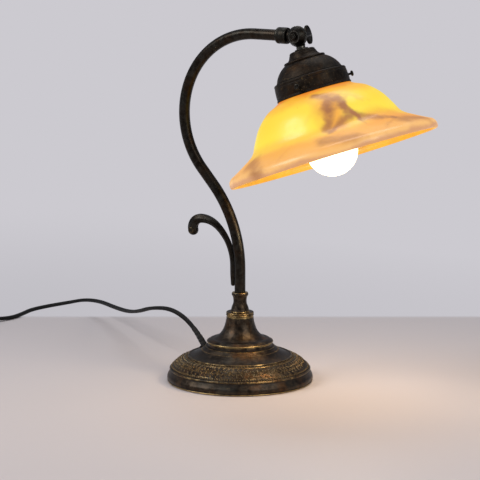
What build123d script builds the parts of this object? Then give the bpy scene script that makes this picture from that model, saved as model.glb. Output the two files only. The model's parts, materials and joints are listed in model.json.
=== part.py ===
from build123d import *
import os
from math import cos, pi, radians, sin, tan

os.makedirs("parts", exist_ok=True)

# A table lamp: round weighted base, bent tube arm with a scroll, friction knuckle,
# metal gallery with a bell glass shade held by three thumbscrews, E27 lamp, flat cord
# with an in-line rocker switch. Origin: centre of the base's underside. +Z up,
# +X is the arm's reach, and the knuckle turns about Y.

# ---- driving dimensions, mm ----
# base
foot_radius = 86.0
felt_thickness = 1.5
plate_thickness = 1.2
weight_radius = 78.0
plinth_radius = 39.8
plinth_height = 48.0
# central rod
rod_radius = 4.95
rod_bore = 3.0
rod_foot = 5.0
rod_top = 96.0
nut_across_flats = 17.0
nut_height = 6.0
# column above the base
bell_top = 79.0
collar_foot = 83.6
collar_top = 107.0
# arm
tube_radius = 6.5
tube_bore = 5.0
tube_foot = 90.0
bend_start = 134.5
lean_radius = 151.0
lean_angle = 41.5
slope_length = 23.3
crook_radius = 98.5
ferrule_length = 14.0
ferrule_radius = 9.6
# scroll: half thickness at stations along its path
scroll_lean = 9.8
scroll_stations = (0.0, 0.1, 0.3, 0.45, 0.6, 0.72, 0.86, 1.0)
scroll_girths = (2.6, 3.2, 3.3, 3.4, 3.9, 4.7, 5.7, 6.2)
# knuckle
knuckle_x = 78.0
knuckle_radius = 11.6
knuckle_face_radius = 7.4
knuckle_half_width = 8.0
knuckle_gap = 0.6
socket_reach = 12.3
bolt_radius = 2.5
bolt_head_height = 3.4
bolt_length = 26.0
running_fit = 0.06
neck_foot = 15.0
stem_radius = 4.9
stem_foot = 38.0
washer_room = 1.4
wing_centre = 24.8
wing_span = 22.4
wing_depth = 12.4
wing_lean = -15.7
# head
shade_tilt = 20.0
gallery_top = 28.8
band_top = 48.6
gallery_foot = 67.5
gallery_wall = 1.2
cap_top = 16.6
collar_radius = 39.6
collar_mouth = 51.5
glass_wall = 3.8
rim_radius = 124.5
thumbscrew_depth = 58.5
thumbscrew_radius = 1.4
thumbscrew_reach = 47.4
thumbscrew_angles = (-80, 40, 160)
# lampholder
holder_top = 33.0
holder_joint = 47.0
holder_foot = 84.0
block_height = 11.0
# lamp
bulb_radius = 30.0
bulb_centre = 137.0
bulb_join = 19.0
bulb_wall = 1.0
bulb_neck_radius = 12.1
cap_foot = 60.5
# cord: the free stretches' points, from the base to the plug
cord_radius = 2.7
cord_exit_radius = 50.0
cord_exit_height = 35.1
cord_exit_lean = 28.0
grommet_flange = 2.2
arch_route = (
    (-66.5, 0.5, 59.0), (-99.0, 5.0, 75.0), (-144.0, 25.0, 68.0), (-190.0, 64.0, 51.0),
    (-240.0, 113.0, 36.5), (-294.0, 160.0, 28.0), (-345.0, 200.0, 23.5), (-388.0, 224.0, 17.0),
    (-416.0, 227.0, 9.5), (-440.0, 212.0, 4.6), (-450.0, 187.0, 2.8), (-444.0, 160.0, 2.7),
    (-441.0, 135.0, 2.7), (-446.0, 115.0, 3.6), (-457.0, 96.0, 6.0),
)
lead_in_route = ((-490.5, 46.3, 6.0), (-503.5, 27.0, 4.4), (-512.5, 6.0, 2.8), (-516.0, -14.0, 3.4))
lead_out_route = ((-468.0, -55.0, 9.0), (-448.0, -56.0, 7.6), (-427.0, -60.0, 5.6), (-407.0, -66.0, 7.0))
# in-line switch
switch_centre = (-473.8, 71.1)
switch_heading = 236.0
switch_length = 60.0
switch_width = 27.0
switch_height = 17.0
switch_split = 9.0
rocker_length = 18.0
rocker_width = 11.0
rocker_height = 13.6
rocker_lean = 8.0
# coil and plug
coil_centre = (-480.5, -22.0)
coil_radius = 32.0
coil_width = 13.8
coil_height = 11.2
coil_lift = 0.9
tie_angle = 20.0
plug_length = 36.0
plug_height = 13.6
pin_radius = 2.0
pin_pitch = 18.6
pin_length = 19.0
pin_root_radius = 1.6
pin_root_length = 10.0

# ---- places worked out from them ----
arm_height = (
    bend_start
    + lean_radius * sin(radians(lean_angle))
    + slope_length * cos(radians(lean_angle))
    + crook_radius * (1 + sin(radians(lean_angle)))
)
knuckle = Vector(knuckle_x, 0, arm_height)
down_axis = Vector(sin(radians(shade_tilt)), 0, -cos(radians(shade_tilt)))
across = Vector(cos(radians(shade_tilt)), 0, sin(radians(shade_tilt)))
head_axis = Axis(knuckle, down_axis)
# section plane of the head: x is the radius, y the depth below the knuckle
head_section = Plane(origin=knuckle, x_dir=across, z_dir=(0, 1, 0))
knuckle_axis = Axis(knuckle, (0, 1, 0))
# section plane through the knuckle's bolt: x is the radius, y the distance along the bolt
pin_section = Plane(origin=knuckle)
switch_side = Vector(cos(radians(switch_heading)), sin(radians(switch_heading)), 0)
switch_bed = Plane(origin=(*switch_centre, 0), x_dir=switch_side, z_dir=(0, 0, 1))
screw_spots = ((switch_length / 2 - 9, 7.0), (9 - switch_length / 2, -7.0))
rocker_section = Plane(
    origin=(*switch_centre, rocker_height),
    x_dir=switch_side * cos(radians(rocker_lean)) + Vector(0, 0, sin(radians(rocker_lean))),
    z_dir=switch_side.cross(Vector(0, 0, 1)),
)
plug_start = Vector(*lead_out_route[-1])
plug_run = plug_start - Vector(*lead_out_route[-2])
plug_heading = Vector(plug_run.X, plug_run.Y, 0).normalized()
plug_bed = Plane(origin=(plug_start.X, plug_start.Y, 0), x_dir=plug_heading, z_dir=(0, 0, 1))
plug_face = Plane(
    origin=plug_start + plug_heading * plug_length,
    x_dir=plug_heading.cross(Vector(0, 0, 1)),
    z_dir=plug_heading,
)
# the hole in the base's shoulder that the cord leaves by
exit_plane = Plane(
    origin=(-cord_exit_radius, 0, cord_exit_height),
    x_dir=(0, 1, 0),
    z_dir=(-sin(radians(cord_exit_lean)), 0, cos(radians(cord_exit_lean))),
)
hub_start = knuckle_half_width + washer_room
pin_spots = ((-pin_pitch / 2, 0), (pin_pitch / 2, 0))
ferrule_end = knuckle_x - socket_reach
ferrule_start = ferrule_end - ferrule_length


def head_plane(depth):
    """Plane across the head's axis, facing down it."""
    return Plane(origin=knuckle + down_axis * depth, x_dir=across, z_dir=down_axis)


def screw_plane(angle, radius):
    """Plane facing out from the head's axis, across one thumbscrew."""
    level = head_plane(thumbscrew_depth)
    out = level.x_dir * cos(radians(angle)) - level.y_dir * sin(radians(angle))
    return Plane(origin=level.origin + out * radius, x_dir=level.z_dir, z_dir=out)


def pin_plane(distance):
    """Plane across the knuckle's bolt, facing +Y."""
    return Plane(origin=knuckle + Vector(0, distance, 0), x_dir=(1, 0, 0), z_dir=(0, 1, 0))


def arm_plane(reach):
    """Plane across the arm's level end, facing +X, with its x axis along +Y."""
    return Plane(origin=(reach, 0, arm_height), x_dir=(0, 1, 0), z_dir=(1, 0, 0))


# ---- base ----
with BuildPart() as felt_pad:
    Cylinder(foot_radius - 3.5, felt_thickness, align=(Align.CENTER, Align.CENTER, Align.MIN))
felt_pad.part.label = "felt_pad"
export_step(felt_pad.part, "parts/felt_pad.step")

with BuildPart() as base_plate:
    with BuildSketch(Plane.XY.offset(felt_thickness)):
        Circle(foot_radius - 3)
    extrude(amount=plate_thickness)
base_plate.part.label = "base_plate"
export_step(base_plate.part, "parts/base_plate.step")

with BuildPart() as base_shell:
    with BuildSketch(Plane.XZ):
        with BuildLine():
            foot = ThreePointArc((foot_radius, 0.4), (87.3, 3.8), (85.0, 9.5))
            neck = ThreePointArc(foot @ 1, (83.2, 11.6), (83.0, 14.0))
            bead = ThreePointArc(neck @ 1, (84.2, 15.4), (82.6, 16.8))
            dome = ThreePointArc(bead @ 1, (75.2, 23.6), (62.6, 30.2))
            step = ThreePointArc(dome @ 1, (62.0, 31.6), (60.6, 31.4))
            cove = ThreePointArc(step @ 1, (50.6, 34.8), (42.0, 41.6))
            band = Line(cove @ 1, (38.2, 42.4))
            wall = Line(band @ 1, (38.2, plinth_height - 1))
            top = Line(wall @ 1, (30.0, plinth_height - 1))
            drop = Line(top @ 1, (30.0, plinth_height - 3))
            under = Line(drop @ 1, (36.0, plinth_height - 3))
            inner_wall = Line(under @ 1, (36.0, 40.6))
            inner_band = Line(inner_wall @ 1, (40.6, 39.8))
            inner_cove = ThreePointArc(inner_band @ 1, (49.6, 32.8), (60.4, 29.2))
            inner_dome = ThreePointArc(inner_cove @ 1, (73.6, 22.2), (80.6, 16.4))
            inner_neck = Line(inner_dome @ 1, (81.0, 11.0))
            inner_foot = Line(inner_neck @ 1, (83.0, 8.5))
            drop_foot = Line(inner_foot @ 1, (83.0, 0.4))
            Line(drop_foot @ 1, foot @ 0)
        make_face()
    revolve(axis=Axis.Z)
    with BuildSketch(exit_plane):
        Circle(4.0)
    extrude(amount=6, both=True, mode=Mode.SUBTRACT)
base_shell.part.label = "base_shell"
export_step(base_shell.part, "parts/base_shell.step")

with BuildPart() as base_weight:
    with BuildSketch(Plane.XZ):
        with BuildLine():
            Polyline(
                (0, 2.7), (weight_radius, 2.7), (weight_radius, 14.0), (54.0, 26.0),
                (18.0, 26.0), (18.0, 30.0), (0, 30.0), close=True,
            )
        make_face()
    revolve(axis=Axis.Z)
    with Locations((0, 0, 30.0)):
        Hole(rod_radius + 0.3)
    with Locations((0, 0, 2.7)):
        Cylinder(14, 11.3, align=(Align.CENTER, Align.CENTER, Align.MIN), mode=Mode.SUBTRACT)
    with Locations((-46, 0, 28)):
        Box(30, 12, 12, mode=Mode.SUBTRACT)
base_weight.part.label = "base_weight"
export_step(base_weight.part, "parts/base_weight.step")

with BuildPart() as lock_washer:
    with BuildSketch(Plane.XY.offset(rod_foot + nut_height + 1.0)):
        Circle(10)
        Circle(rod_radius + 0.2, mode=Mode.SUBTRACT)
    extrude(amount=2.0)
lock_washer.part.label = "lock_washer"
export_step(lock_washer.part, "parts/lock_washer.step")

with BuildPart() as base_nut:
    with BuildSketch(Plane.XY.offset(rod_foot + 1.0)):
        RegularPolygon(nut_across_flats / 2, 6, major_radius=False)
        Circle(rod_radius, mode=Mode.SUBTRACT)
    extrude(amount=nut_height)
base_nut.part.label = "base_nut"
export_step(base_nut.part, "parts/base_nut.step")

with BuildPart() as threaded_rod:
    with BuildSketch(Plane.XY.offset(rod_foot)):
        Circle(rod_radius)
        Circle(rod_bore, mode=Mode.SUBTRACT)
    extrude(amount=rod_top - rod_foot)
    # side port where the supply lead enters
    with Locations((-rod_radius, 0, 36)):
        Cylinder(1.9, 8, rotation=(0, 90, 0), mode=Mode.SUBTRACT)
threaded_rod.part.label = "threaded_rod"
export_step(threaded_rod.part, "parts/threaded_rod.step")

with BuildPart() as cord_grommet:
    with BuildSketch(exit_plane.offset(0.2)):
        Circle(6.2)
        Circle(2.2, mode=Mode.SUBTRACT)
    extrude(amount=grommet_flange)
    fillet(cord_grommet.edges().filter_by(GeomType.CIRCLE).group_by(SortBy.RADIUS)[-1], 0.7)
    with BuildSketch(exit_plane.offset(0.2)):
        Circle(3.9)
        Circle(2.2, mode=Mode.SUBTRACT)
    extrude(amount=-6.5)
cord_grommet.part.label = "cord_grommet"
export_step(cord_grommet.part, "parts/cord_grommet.step")

with BuildPart() as cord_clamp:
    with BuildSketch(Plane.XY.offset(26.0)):
        with Locations((-22.5, 0)):
            RectangleRounded(8, 24, 2)
        with Locations((-22.5, 8), (-22.5, -8)):
            Circle(1.6, mode=Mode.SUBTRACT)
    extrude(amount=2.0)
cord_clamp.part.label = "cord_clamp"
export_step(cord_clamp.part, "parts/cord_clamp.step")

# ---- column ----
with BuildPart() as column_bell:
    with BuildSketch(Plane.XZ):
        with BuildLine():
            edge = Line((36.6, plinth_height - 1), (plinth_radius - 0.6, plinth_height - 1))
            lip = ThreePointArc(edge @ 1, (plinth_radius, plinth_height - 0.2), (39.2, 48.6))
            shoulder = ThreePointArc(lip @ 1, (36.2, 50.5), (31.0, 51.6))
            flare = ThreePointArc(shoulder @ 1, (22.8, 58.0), (18.2, 67.6))
            shaft = ThreePointArc(flare @ 1, (16.7, 73.2), (16.0, bell_top))
            lid = Line(shaft @ 1, (rod_radius + 0.2, bell_top))
            eye = Line(lid @ 1, (rod_radius + 0.2, bell_top - 3))
            ceiling = Line(eye @ 1, (14.2, bell_top - 3))
            inside = ThreePointArc(ceiling @ 1, (19.0, 60.0), (28.0, 50.4))
            Polyline(inside @ 1, (28.0, plinth_height - 1), edge @ 0)
        make_face()
    revolve(axis=Axis.Z)
column_bell.part.label = "column_bell"
export_step(column_bell.part, "parts/column_bell.step")

with BuildPart() as bead_ring:
    with BuildSketch(Plane.XZ):
        with BuildLine():
            seat = Line((rod_radius + 0.2, bell_top), (15.6, bell_top))
            low_bead = ThreePointArc(seat @ 1, (16.6, 80.15), (15.6, 81.3))
            high_bead = ThreePointArc(low_bead @ 1, (16.5, 82.45), (15.4, collar_foot))
            Polyline(high_bead @ 1, (rod_radius + 0.2, collar_foot), seat @ 0)
        make_face()
    revolve(axis=Axis.Z)
bead_ring.part.label = "bead_ring"
export_step(bead_ring.part, "parts/bead_ring.step")

with BuildPart() as vase_collar:
    with BuildSketch(Plane.XZ):
        with BuildLine():
            base_line = Line((rod_radius + 0.2, collar_foot), (11.4, collar_foot))
            belly = ThreePointArc(base_line @ 1, (10.1, 88.6), (8.3, 93.2))
            waist = ThreePointArc(belly @ 1, (7.9, 97.8), (8.9, 103.0))
            flange = ThreePointArc(waist @ 1, (9.9, 105.0), (9.2, collar_top))
            rim = Line(flange @ 1, (tube_radius + 0.05, collar_top))
            socket = Line(rim @ 1, (tube_radius + 0.05, tube_foot))
            Polyline(socket @ 1, (rod_radius + 0.2, tube_foot), base_line @ 0)
        make_face()
    revolve(axis=Axis.Z)
vase_collar.part.label = "vase_collar"
export_step(vase_collar.part, "parts/vase_collar.step")

# ---- arm ----
with BuildPart() as arm_tube:
    with BuildLine(Plane.XZ) as arm_path:
        rise = Line((0, tube_foot), (0, bend_start))
        lean = JernArc(start=rise @ 1, tangent=rise % 1, radius=lean_radius, arc_size=lean_angle)
        slope = Line(lean @ 1, lean @ 1 + (lean % 1) * slope_length)
        crook = JernArc(
            start=slope @ 1, tangent=slope % 1, radius=crook_radius, arc_size=-90 - lean_angle
        )
        reach = Line(crook @ 1, Vector(ferrule_start + 3, 0, arm_height))
    with BuildSketch(Plane.XY.offset(tube_foot)):
        Circle(tube_radius)
        Circle(tube_bore, mode=Mode.SUBTRACT)
    sweep(path=arm_path.line)
arm_tube.part.label = "arm_tube"
export_step(arm_tube.part, "parts/arm_tube.step")

with BuildPart() as inner_lead:
    with BuildSketch(Plane.XY.offset(tube_foot)):
        SlotOverall(5.4, 2.7)
    sweep(path=arm_path.line)
inner_lead.part.label = "inner_lead"
export_step(inner_lead.part, "parts/inner_lead.step")

with BuildPart() as arm_ferrule:
    with BuildSketch(Plane.XZ):
        with BuildLine():
            Polyline(
                (ferrule_start, arm_height + tube_radius + 0.05),
                (ferrule_start, arm_height + 8.0),
                (ferrule_start + 1.8, arm_height + ferrule_radius),
                (ferrule_end - 0.5, arm_height + ferrule_radius),
                (ferrule_end, arm_height + ferrule_radius - 0.5),
                (ferrule_end, arm_height + 5.0),
                (ferrule_start + 3, arm_height + 5.0),
                (ferrule_start + 3, arm_height + tube_radius + 0.05),
                close=True,
            )
        make_face()
    revolve(axis=Axis((0, 0, arm_height), (1, 0, 0)))
arm_ferrule.part.label = "arm_ferrule"
export_step(arm_ferrule.part, "parts/arm_ferrule.step")

# The scroll is a tapering rod that leans on the arm's rear side and curls over.
with BuildLine(Plane.XZ) as scroll_path:
    stem = Line((-scroll_lean, 116.0), (-scroll_lean, 138.0))
    sway = JernArc(start=stem @ 1, tangent=stem % 1, radius=59.5, arc_size=50)
    bow = JernArc(start=sway @ 1, tangent=sway % 1, radius=32.9, arc_size=46)
    curl = JernArc(start=bow @ 1, tangent=bow % 1, radius=12.0, arc_size=98)

with BuildPart() as scroll:
    for station, girth in zip(scroll_stations, scroll_girths):
        spot = scroll_path.line @ station
        with BuildSketch(Plane(origin=spot, x_dir=(0, 1, 0), z_dir=scroll_path.line % station)):
            Circle(girth)
    loft()
    with Locations(scroll_path.line @ 0):
        Sphere(scroll_girths[0])
    with Locations(scroll_path.line @ 1):
        Sphere(scroll_girths[-1])
scroll.part.label = "scroll"
export_step(scroll.part, "parts/scroll.step")

# ---- knuckle: two half discs on one bolt, the near one fixed to the arm ----
with BuildPart() as knuckle_fixed:
    with BuildSketch(pin_section):
        with BuildLine():
            Polyline(
                (bolt_radius, -knuckle_gap / 2), (knuckle_radius, -knuckle_gap / 2),
                (knuckle_radius, -2.4), (knuckle_face_radius, -knuckle_half_width),
                (bolt_radius, -knuckle_half_width), close=True,
            )
        make_face()
    revolve(axis=knuckle_axis)
    with BuildSketch(arm_plane(ferrule_start + 4)):
        Circle(4.95)
    extrude(amount=ferrule_length - 4)
    with BuildSketch(arm_plane(ferrule_end)):
        Circle(7.0)
        with Locations((10 - knuckle_gap / 2, 0)):
            Rectangle(20, 20, mode=Mode.SUBTRACT)
    extrude(amount=5.0)
knuckle_fixed.part.label = "knuckle_fixed"
export_step(knuckle_fixed.part, "parts/knuckle_fixed.step")

with BuildPart() as knuckle_swivel:
    with BuildSketch(pin_section):
        with BuildLine():
            Polyline(
                (bolt_radius + running_fit, knuckle_gap / 2), (knuckle_radius, knuckle_gap / 2),
                (knuckle_radius, 2.4), (knuckle_face_radius, knuckle_half_width),
                (bolt_radius + running_fit, knuckle_half_width), close=True,
            )
        make_face()
    revolve(axis=knuckle_axis)
    with BuildSketch(head_plane(7.5)):
        Circle(6.0)
        with Locations((0, 10 - knuckle_gap / 2)):
            Rectangle(20, 20, mode=Mode.SUBTRACT)
    extrude(amount=socket_reach - 7.5)
    with BuildSketch(head_plane(socket_reach)):
        Circle(5.4)
    extrude(amount=neck_foot - socket_reach)
    with BuildSketch(head_plane(neck_foot)):
        Circle(stem_radius)
    extrude(amount=stem_foot - neck_foot)
    with BuildSketch(head_plane(socket_reach + 1)):
        Circle(2.6)
    extrude(amount=stem_foot - socket_reach - 1, mode=Mode.SUBTRACT)
knuckle_swivel.part.label = "knuckle_swivel"
export_step(knuckle_swivel.part, "parts/knuckle_swivel.step")

with BuildPart() as friction_washer:
    with BuildSketch(pin_plane(-knuckle_gap / 2)):
        Circle(knuckle_radius - 1.5)
        Circle(bolt_radius, mode=Mode.SUBTRACT)
    extrude(amount=knuckle_gap - 0.1)
friction_washer.part.label = "friction_washer"
export_step(friction_washer.part, "parts/friction_washer.step")

with BuildPart() as knuckle_bolt:
    with BuildSketch(pin_plane(-knuckle_half_width - bolt_head_height)):
        Circle(3.9)
    extrude(amount=bolt_head_height)
    fillet(knuckle_bolt.edges().filter_by(GeomType.CIRCLE).sort_by(Axis.Y)[0], 1.1)
    with BuildSketch(pin_plane(-knuckle_half_width)):
        Circle(bolt_radius)
    extrude(amount=bolt_length)
    with BuildSketch(pin_plane(-knuckle_half_width - bolt_head_height)):
        Rectangle(1.0, 9.0, rotation=35)
    extrude(amount=1.2, mode=Mode.SUBTRACT)
knuckle_bolt.part.label = "knuckle_bolt"
export_step(knuckle_bolt.part, "parts/knuckle_bolt.step")

with BuildPart() as spring_washer:
    with BuildSketch(pin_plane(knuckle_half_width + 0.15)):
        Circle(4.6)
        Circle(bolt_radius + running_fit, mode=Mode.SUBTRACT)
    extrude(amount=1.2)
spring_washer.part.label = "spring_washer"
export_step(spring_washer.part, "parts/spring_washer.step")

wing_side = Vector(sin(radians(wing_lean)), 0, cos(radians(wing_lean)))
wing_plane = Plane(
    origin=knuckle + Vector(0, wing_centre, 0),
    x_dir=wing_side,
    z_dir=wing_side.cross(Vector(0, 1, 0)),
)
with BuildPart() as wing_nut:
    with BuildSketch(wing_plane):
        Ellipse(wing_span / 2, wing_depth / 2)
    extrude(amount=1.8, both=True)
    fillet(wing_nut.edges(), 1.2)
    with BuildSketch(pin_section):
        with BuildLine():
            Polyline(
                (0, hub_start), (4.6, hub_start), (4.4, hub_start + 3),
                (3.4, hub_start + 10), (3.0, wing_centre + 3), (0, wing_centre + 3), close=True,
            )
        make_face()
    revolve(axis=knuckle_axis)
    with BuildSketch(pin_plane(hub_start)):
        Circle(bolt_radius + running_fit)
    extrude(amount=bolt_length - knuckle_half_width - hub_start + 0.6, mode=Mode.SUBTRACT)
wing_nut.part.label = "wing_nut"
export_step(wing_nut.part, "parts/wing_nut.step")

# ---- head: cap, gallery, glass ----
with BuildPart() as neck_ring:
    with BuildSketch(head_plane(neck_foot)):
        Circle(8.0)
        Circle(stem_radius, mode=Mode.SUBTRACT)
    extrude(amount=1.6)
    fillet(neck_ring.edges().filter_by(GeomType.CIRCLE).group_by(SortBy.RADIUS)[-1], 0.6)
neck_ring.part.label = "neck_ring"
export_step(neck_ring.part, "parts/neck_ring.step")

with BuildPart() as shade_cap:
    with BuildSketch(head_section):
        with BuildLine():
            crown = Line((stem_radius, cap_top), (12.6, cap_top))
            brow = ThreePointArc(crown @ 1, (14.6, cap_top + 1.0), (15.4, cap_top + 3.2))
            cone = ThreePointArc(brow @ 1, (17.6, 24.0), (21.4, 27.0))
            brim = ThreePointArc(cone @ 1, (24.2, 27.2), (24.4, gallery_top))
            foot_face = Line(brim @ 1, (22.6, gallery_top))
            inner_cone = ThreePointArc(foot_face @ 1, (16.6, 25.0), (14.0, cap_top + 3.4))
            inner_crown = Line(inner_cone @ 1, (12.4, cap_top + 1.4))
            ceiling = Line(inner_crown @ 1, (stem_radius, cap_top + 1.4))
            Line(ceiling @ 1, crown @ 0)
        make_face()
    revolve(axis=head_axis)
shade_cap.part.label = "shade_cap"
export_step(shade_cap.part, "parts/shade_cap.step")

with BuildPart() as gallery:
    with BuildSketch(head_section):
        with BuildLine():
            roof = Line((stem_radius, gallery_top), (23.6, gallery_top))
            vault = ThreePointArc(roof @ 1, (33.6, 36.8), (39.4, band_top - 1.0))
            ledge = ThreePointArc(vault @ 1, (41.6, band_top - 0.9), (42.8, band_top + 0.8))
            skirt = Line(ledge @ 1, (43.9, gallery_foot - 1.2))
            roll = ThreePointArc(skirt @ 1, (44.6, gallery_foot - 0.6), (43.6, gallery_foot))
            hem = Line(roll @ 1, (42.6, gallery_foot))
            inner_skirt = Line(hem @ 1, (41.6, band_top + 1.6))
            inner_ledge = Line(inner_skirt @ 1, (38.6, band_top + 0.6))
            inner_vault = ThreePointArc(inner_ledge @ 1, (32.8, 37.8), (23.0, gallery_top + gallery_wall))
            inner_roof = Line(inner_vault @ 1, (stem_radius, gallery_top + gallery_wall))
            Line(inner_roof @ 1, roof @ 0)
        make_face()
    revolve(axis=head_axis)
    for angle in thumbscrew_angles:
        with BuildSketch(screw_plane(angle, 38)):
            Circle(thumbscrew_radius + running_fit)
        extrude(amount=10, mode=Mode.SUBTRACT)
gallery.part.label = "gallery"
export_step(gallery.part, "parts/gallery.step")

with BuildPart() as gallery_nut:
    with BuildSketch(head_plane(gallery_top + gallery_wall)):
        RegularPolygon(8.0, 6, major_radius=False)
        Circle(stem_radius, mode=Mode.SUBTRACT)
    extrude(amount=2.6)
gallery_nut.part.label = "gallery_nut"
export_step(gallery_nut.part, "parts/gallery_nut.step")

for number, angle in enumerate(thumbscrew_angles, start=1):
    with BuildPart() as thumbscrew:
        with BuildSketch(screw_plane(angle, collar_radius + 0.25)):
            Circle(thumbscrew_radius)
        extrude(amount=thumbscrew_reach - collar_radius)
        with BuildSketch(screw_plane(angle, thumbscrew_reach)):
            Circle(3.3)
        extrude(amount=2.4)
        fillet(thumbscrew.edges().filter_by(GeomType.CIRCLE).group_by(SortBy.RADIUS)[-1], 0.9)
    thumbscrew.part.label = f"thumbscrew_{number}"
    export_step(thumbscrew.part, f"parts/thumbscrew_{number}.step")

with BuildPart() as glass_shade:
    with BuildSketch(head_section):
        with BuildLine():
            lip_top = Line((collar_radius - glass_wall, collar_mouth), (collar_radius, collar_mouth))
            collar = Line(lip_top @ 1, (collar_radius, 64.0))
            spread = Spline(
                collar @ 1, (46.5, 69.5), (60.1, 76.5), (74.1, 90.0), (83.2, 105.0), (90.0, 117.0),
                (103.5, 126.0), (118.0, 134.0), tangents=[(0, 1), (0.8, 0.6)],
            )
            lip = ThreePointArc(spread @ 1, (124.0, 139.0), (rim_radius, 146.0))
            edge = ThreePointArc(lip @ 1, (rim_radius - 1.8, 147.4), (rim_radius - 3.6, 146.2))
            inner_lip = ThreePointArc(edge @ 1, (120.6, 141.4), (116.0, 137.2))
            inside = Spline(
                inner_lip @ 1, (101.6, 129.2), (87.0, 119.4), (79.8, 106.8), (71.0, 92.6),
                (57.8, 80.2), (44.0, 73.0), (collar_radius - glass_wall, 64.0),
                tangents=[(-0.8, -0.6), (0, -1)],
            )
            Line(inside @ 1, lip_top @ 0)
        make_face()
    revolve(axis=head_axis)
glass_shade.part.label = "glass_shade"
export_step(glass_shade.part, "parts/glass_shade.step")

# ---- lampholder ----
with BuildPart() as holder_cap:
    with BuildSketch(head_section):
        with BuildLine():
            Polyline(
                (stem_radius, holder_top), (15.5, holder_top), (18.8, holder_top + 3.4),
                (18.8, holder_joint), (17.6, holder_joint), (17.6, holder_top + 4.0),
                (15.0, holder_top + 1.4), (stem_radius, holder_top + 1.4), close=True,
            )
        make_face()
    revolve(axis=head_axis)
holder_cap.part.label = "holder_cap"
export_step(holder_cap.part, "parts/holder_cap.step")

with BuildPart() as holder_skirt:
    with BuildSketch(head_plane(holder_joint)):
        Circle(19.6)
        Circle(18.2, mode=Mode.SUBTRACT)
    extrude(amount=holder_foot - holder_joint)
    fillet(holder_skirt.edges().filter_by(GeomType.CIRCLE).group_by(SortBy.RADIUS)[-1], 0.6)
holder_skirt.part.label = "holder_skirt"
export_step(holder_skirt.part, "parts/holder_skirt.step")

with BuildPart() as contact_block:
    with BuildSketch(head_plane(holder_joint)):
        Circle(17.6)
    extrude(amount=block_height)
    with BuildSketch(head_plane(holder_joint)):
        with Locations((9, 0), (-9, 0)):
            Circle(1.8)
    extrude(amount=6, mode=Mode.SUBTRACT)
contact_block.part.label = "contact_block"
export_step(contact_block.part, "parts/contact_block.step")

with BuildPart() as terminal_screws:
    with BuildSketch(head_plane(holder_joint - 1.5)):
        with Locations((9, 0), (-9, 0)):
            Circle(2.6)
    extrude(amount=1.5)
    with BuildSketch(head_plane(holder_joint)):
        with Locations((9, 0), (-9, 0)):
            Circle(1.5)
    extrude(amount=5)
terminal_screws.part.label = "terminal_screws"
export_step(terminal_screws.part, "parts/terminal_screws.step")

with BuildPart() as thread_liner:
    with BuildSketch(head_plane(holder_joint + block_height)):
        Circle(14.6)
        Circle(13.6, mode=Mode.SUBTRACT)
    extrude(amount=22)
thread_liner.part.label = "thread_liner"
export_step(thread_liner.part, "parts/thread_liner.step")

with BuildPart() as centre_contact:
    with BuildSketch(head_plane(holder_joint + block_height)):
        RectangleRounded(13, 5, 1)
    extrude(amount=1.4)
centre_contact.part.label = "centre_contact"
export_step(centre_contact.part, "parts/centre_contact.step")

with BuildPart() as holder_nut:
    with BuildSketch(head_plane(holder_top + 1.4)):
        RegularPolygon(7.5, 6, major_radius=False)
        Circle(stem_radius, mode=Mode.SUBTRACT)
    extrude(amount=2.4)
holder_nut.part.label = "holder_nut"
export_step(holder_nut.part, "parts/holder_nut.step")

# ---- lamp, E27: thin glass envelope in a metal screw cap ----
def envelope(wall):
    """Outline of the bulb from its tip to its neck, moved in by the wall."""
    radius = bulb_radius - wall
    join_radius = (radius**2 - bulb_join**2) ** 0.5
    ball = ThreePointArc(
        (0, bulb_centre + radius), (radius, bulb_centre), (join_radius, bulb_centre - bulb_join)
    )
    throat = TangentArc(ball @ 1, (13.4 - wall, 89.0), tangent=ball % 1)
    neck = Line(throat @ 1, (bulb_neck_radius - wall, 83.5))
    tail = Line(neck @ 1, (bulb_neck_radius - wall, 76.0))
    return ball @ 0, tail @ 1


with BuildPart() as bulb_glass:
    with BuildSketch(head_section):
        with BuildLine():
            outer_tip, outer_tail = envelope(0)
            inner_tip, inner_tail = envelope(bulb_wall)
            Line(outer_tail, inner_tail)
            Line(outer_tip, inner_tip)
        make_face()
    revolve(axis=head_axis)
bulb_glass.part.label = "bulb_glass"
export_step(bulb_glass.part, "parts/bulb_glass.step")

with BuildPart() as bulb_cap:
    with BuildSketch(head_section):
        with BuildLine():
            Polyline(
                (11.2, 63.0), (13.1, 65.0), (13.1, 83.0), (13.9, 86.0), (13.2, 86.4),
                (bulb_neck_radius, 83.5), (bulb_neck_radius, 65.4), (10.4, 63.8), close=True,
            )
        make_face()
    revolve(axis=head_axis)
bulb_cap.part.label = "bulb_cap"
export_step(bulb_cap.part, "parts/bulb_cap.step")

with BuildPart() as bulb_insulator:
    with BuildSketch(head_plane(cap_foot)):
        Circle(5.2)
    with BuildSketch(head_plane(63.0)):
        Circle(11.0)
    loft()
    with BuildSketch(head_plane(63.0)):
        Circle(9.8)
    extrude(amount=2.0)
bulb_insulator.part.label = "bulb_insulator"
export_step(bulb_insulator.part, "parts/bulb_insulator.step")

with BuildPart() as bulb_contact:
    with BuildSketch(head_plane(cap_foot - 0.9)):
        Circle(4.6)
    extrude(amount=0.9)
bulb_contact.part.label = "bulb_contact"
export_step(bulb_contact.part, "parts/bulb_contact.step")

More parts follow.
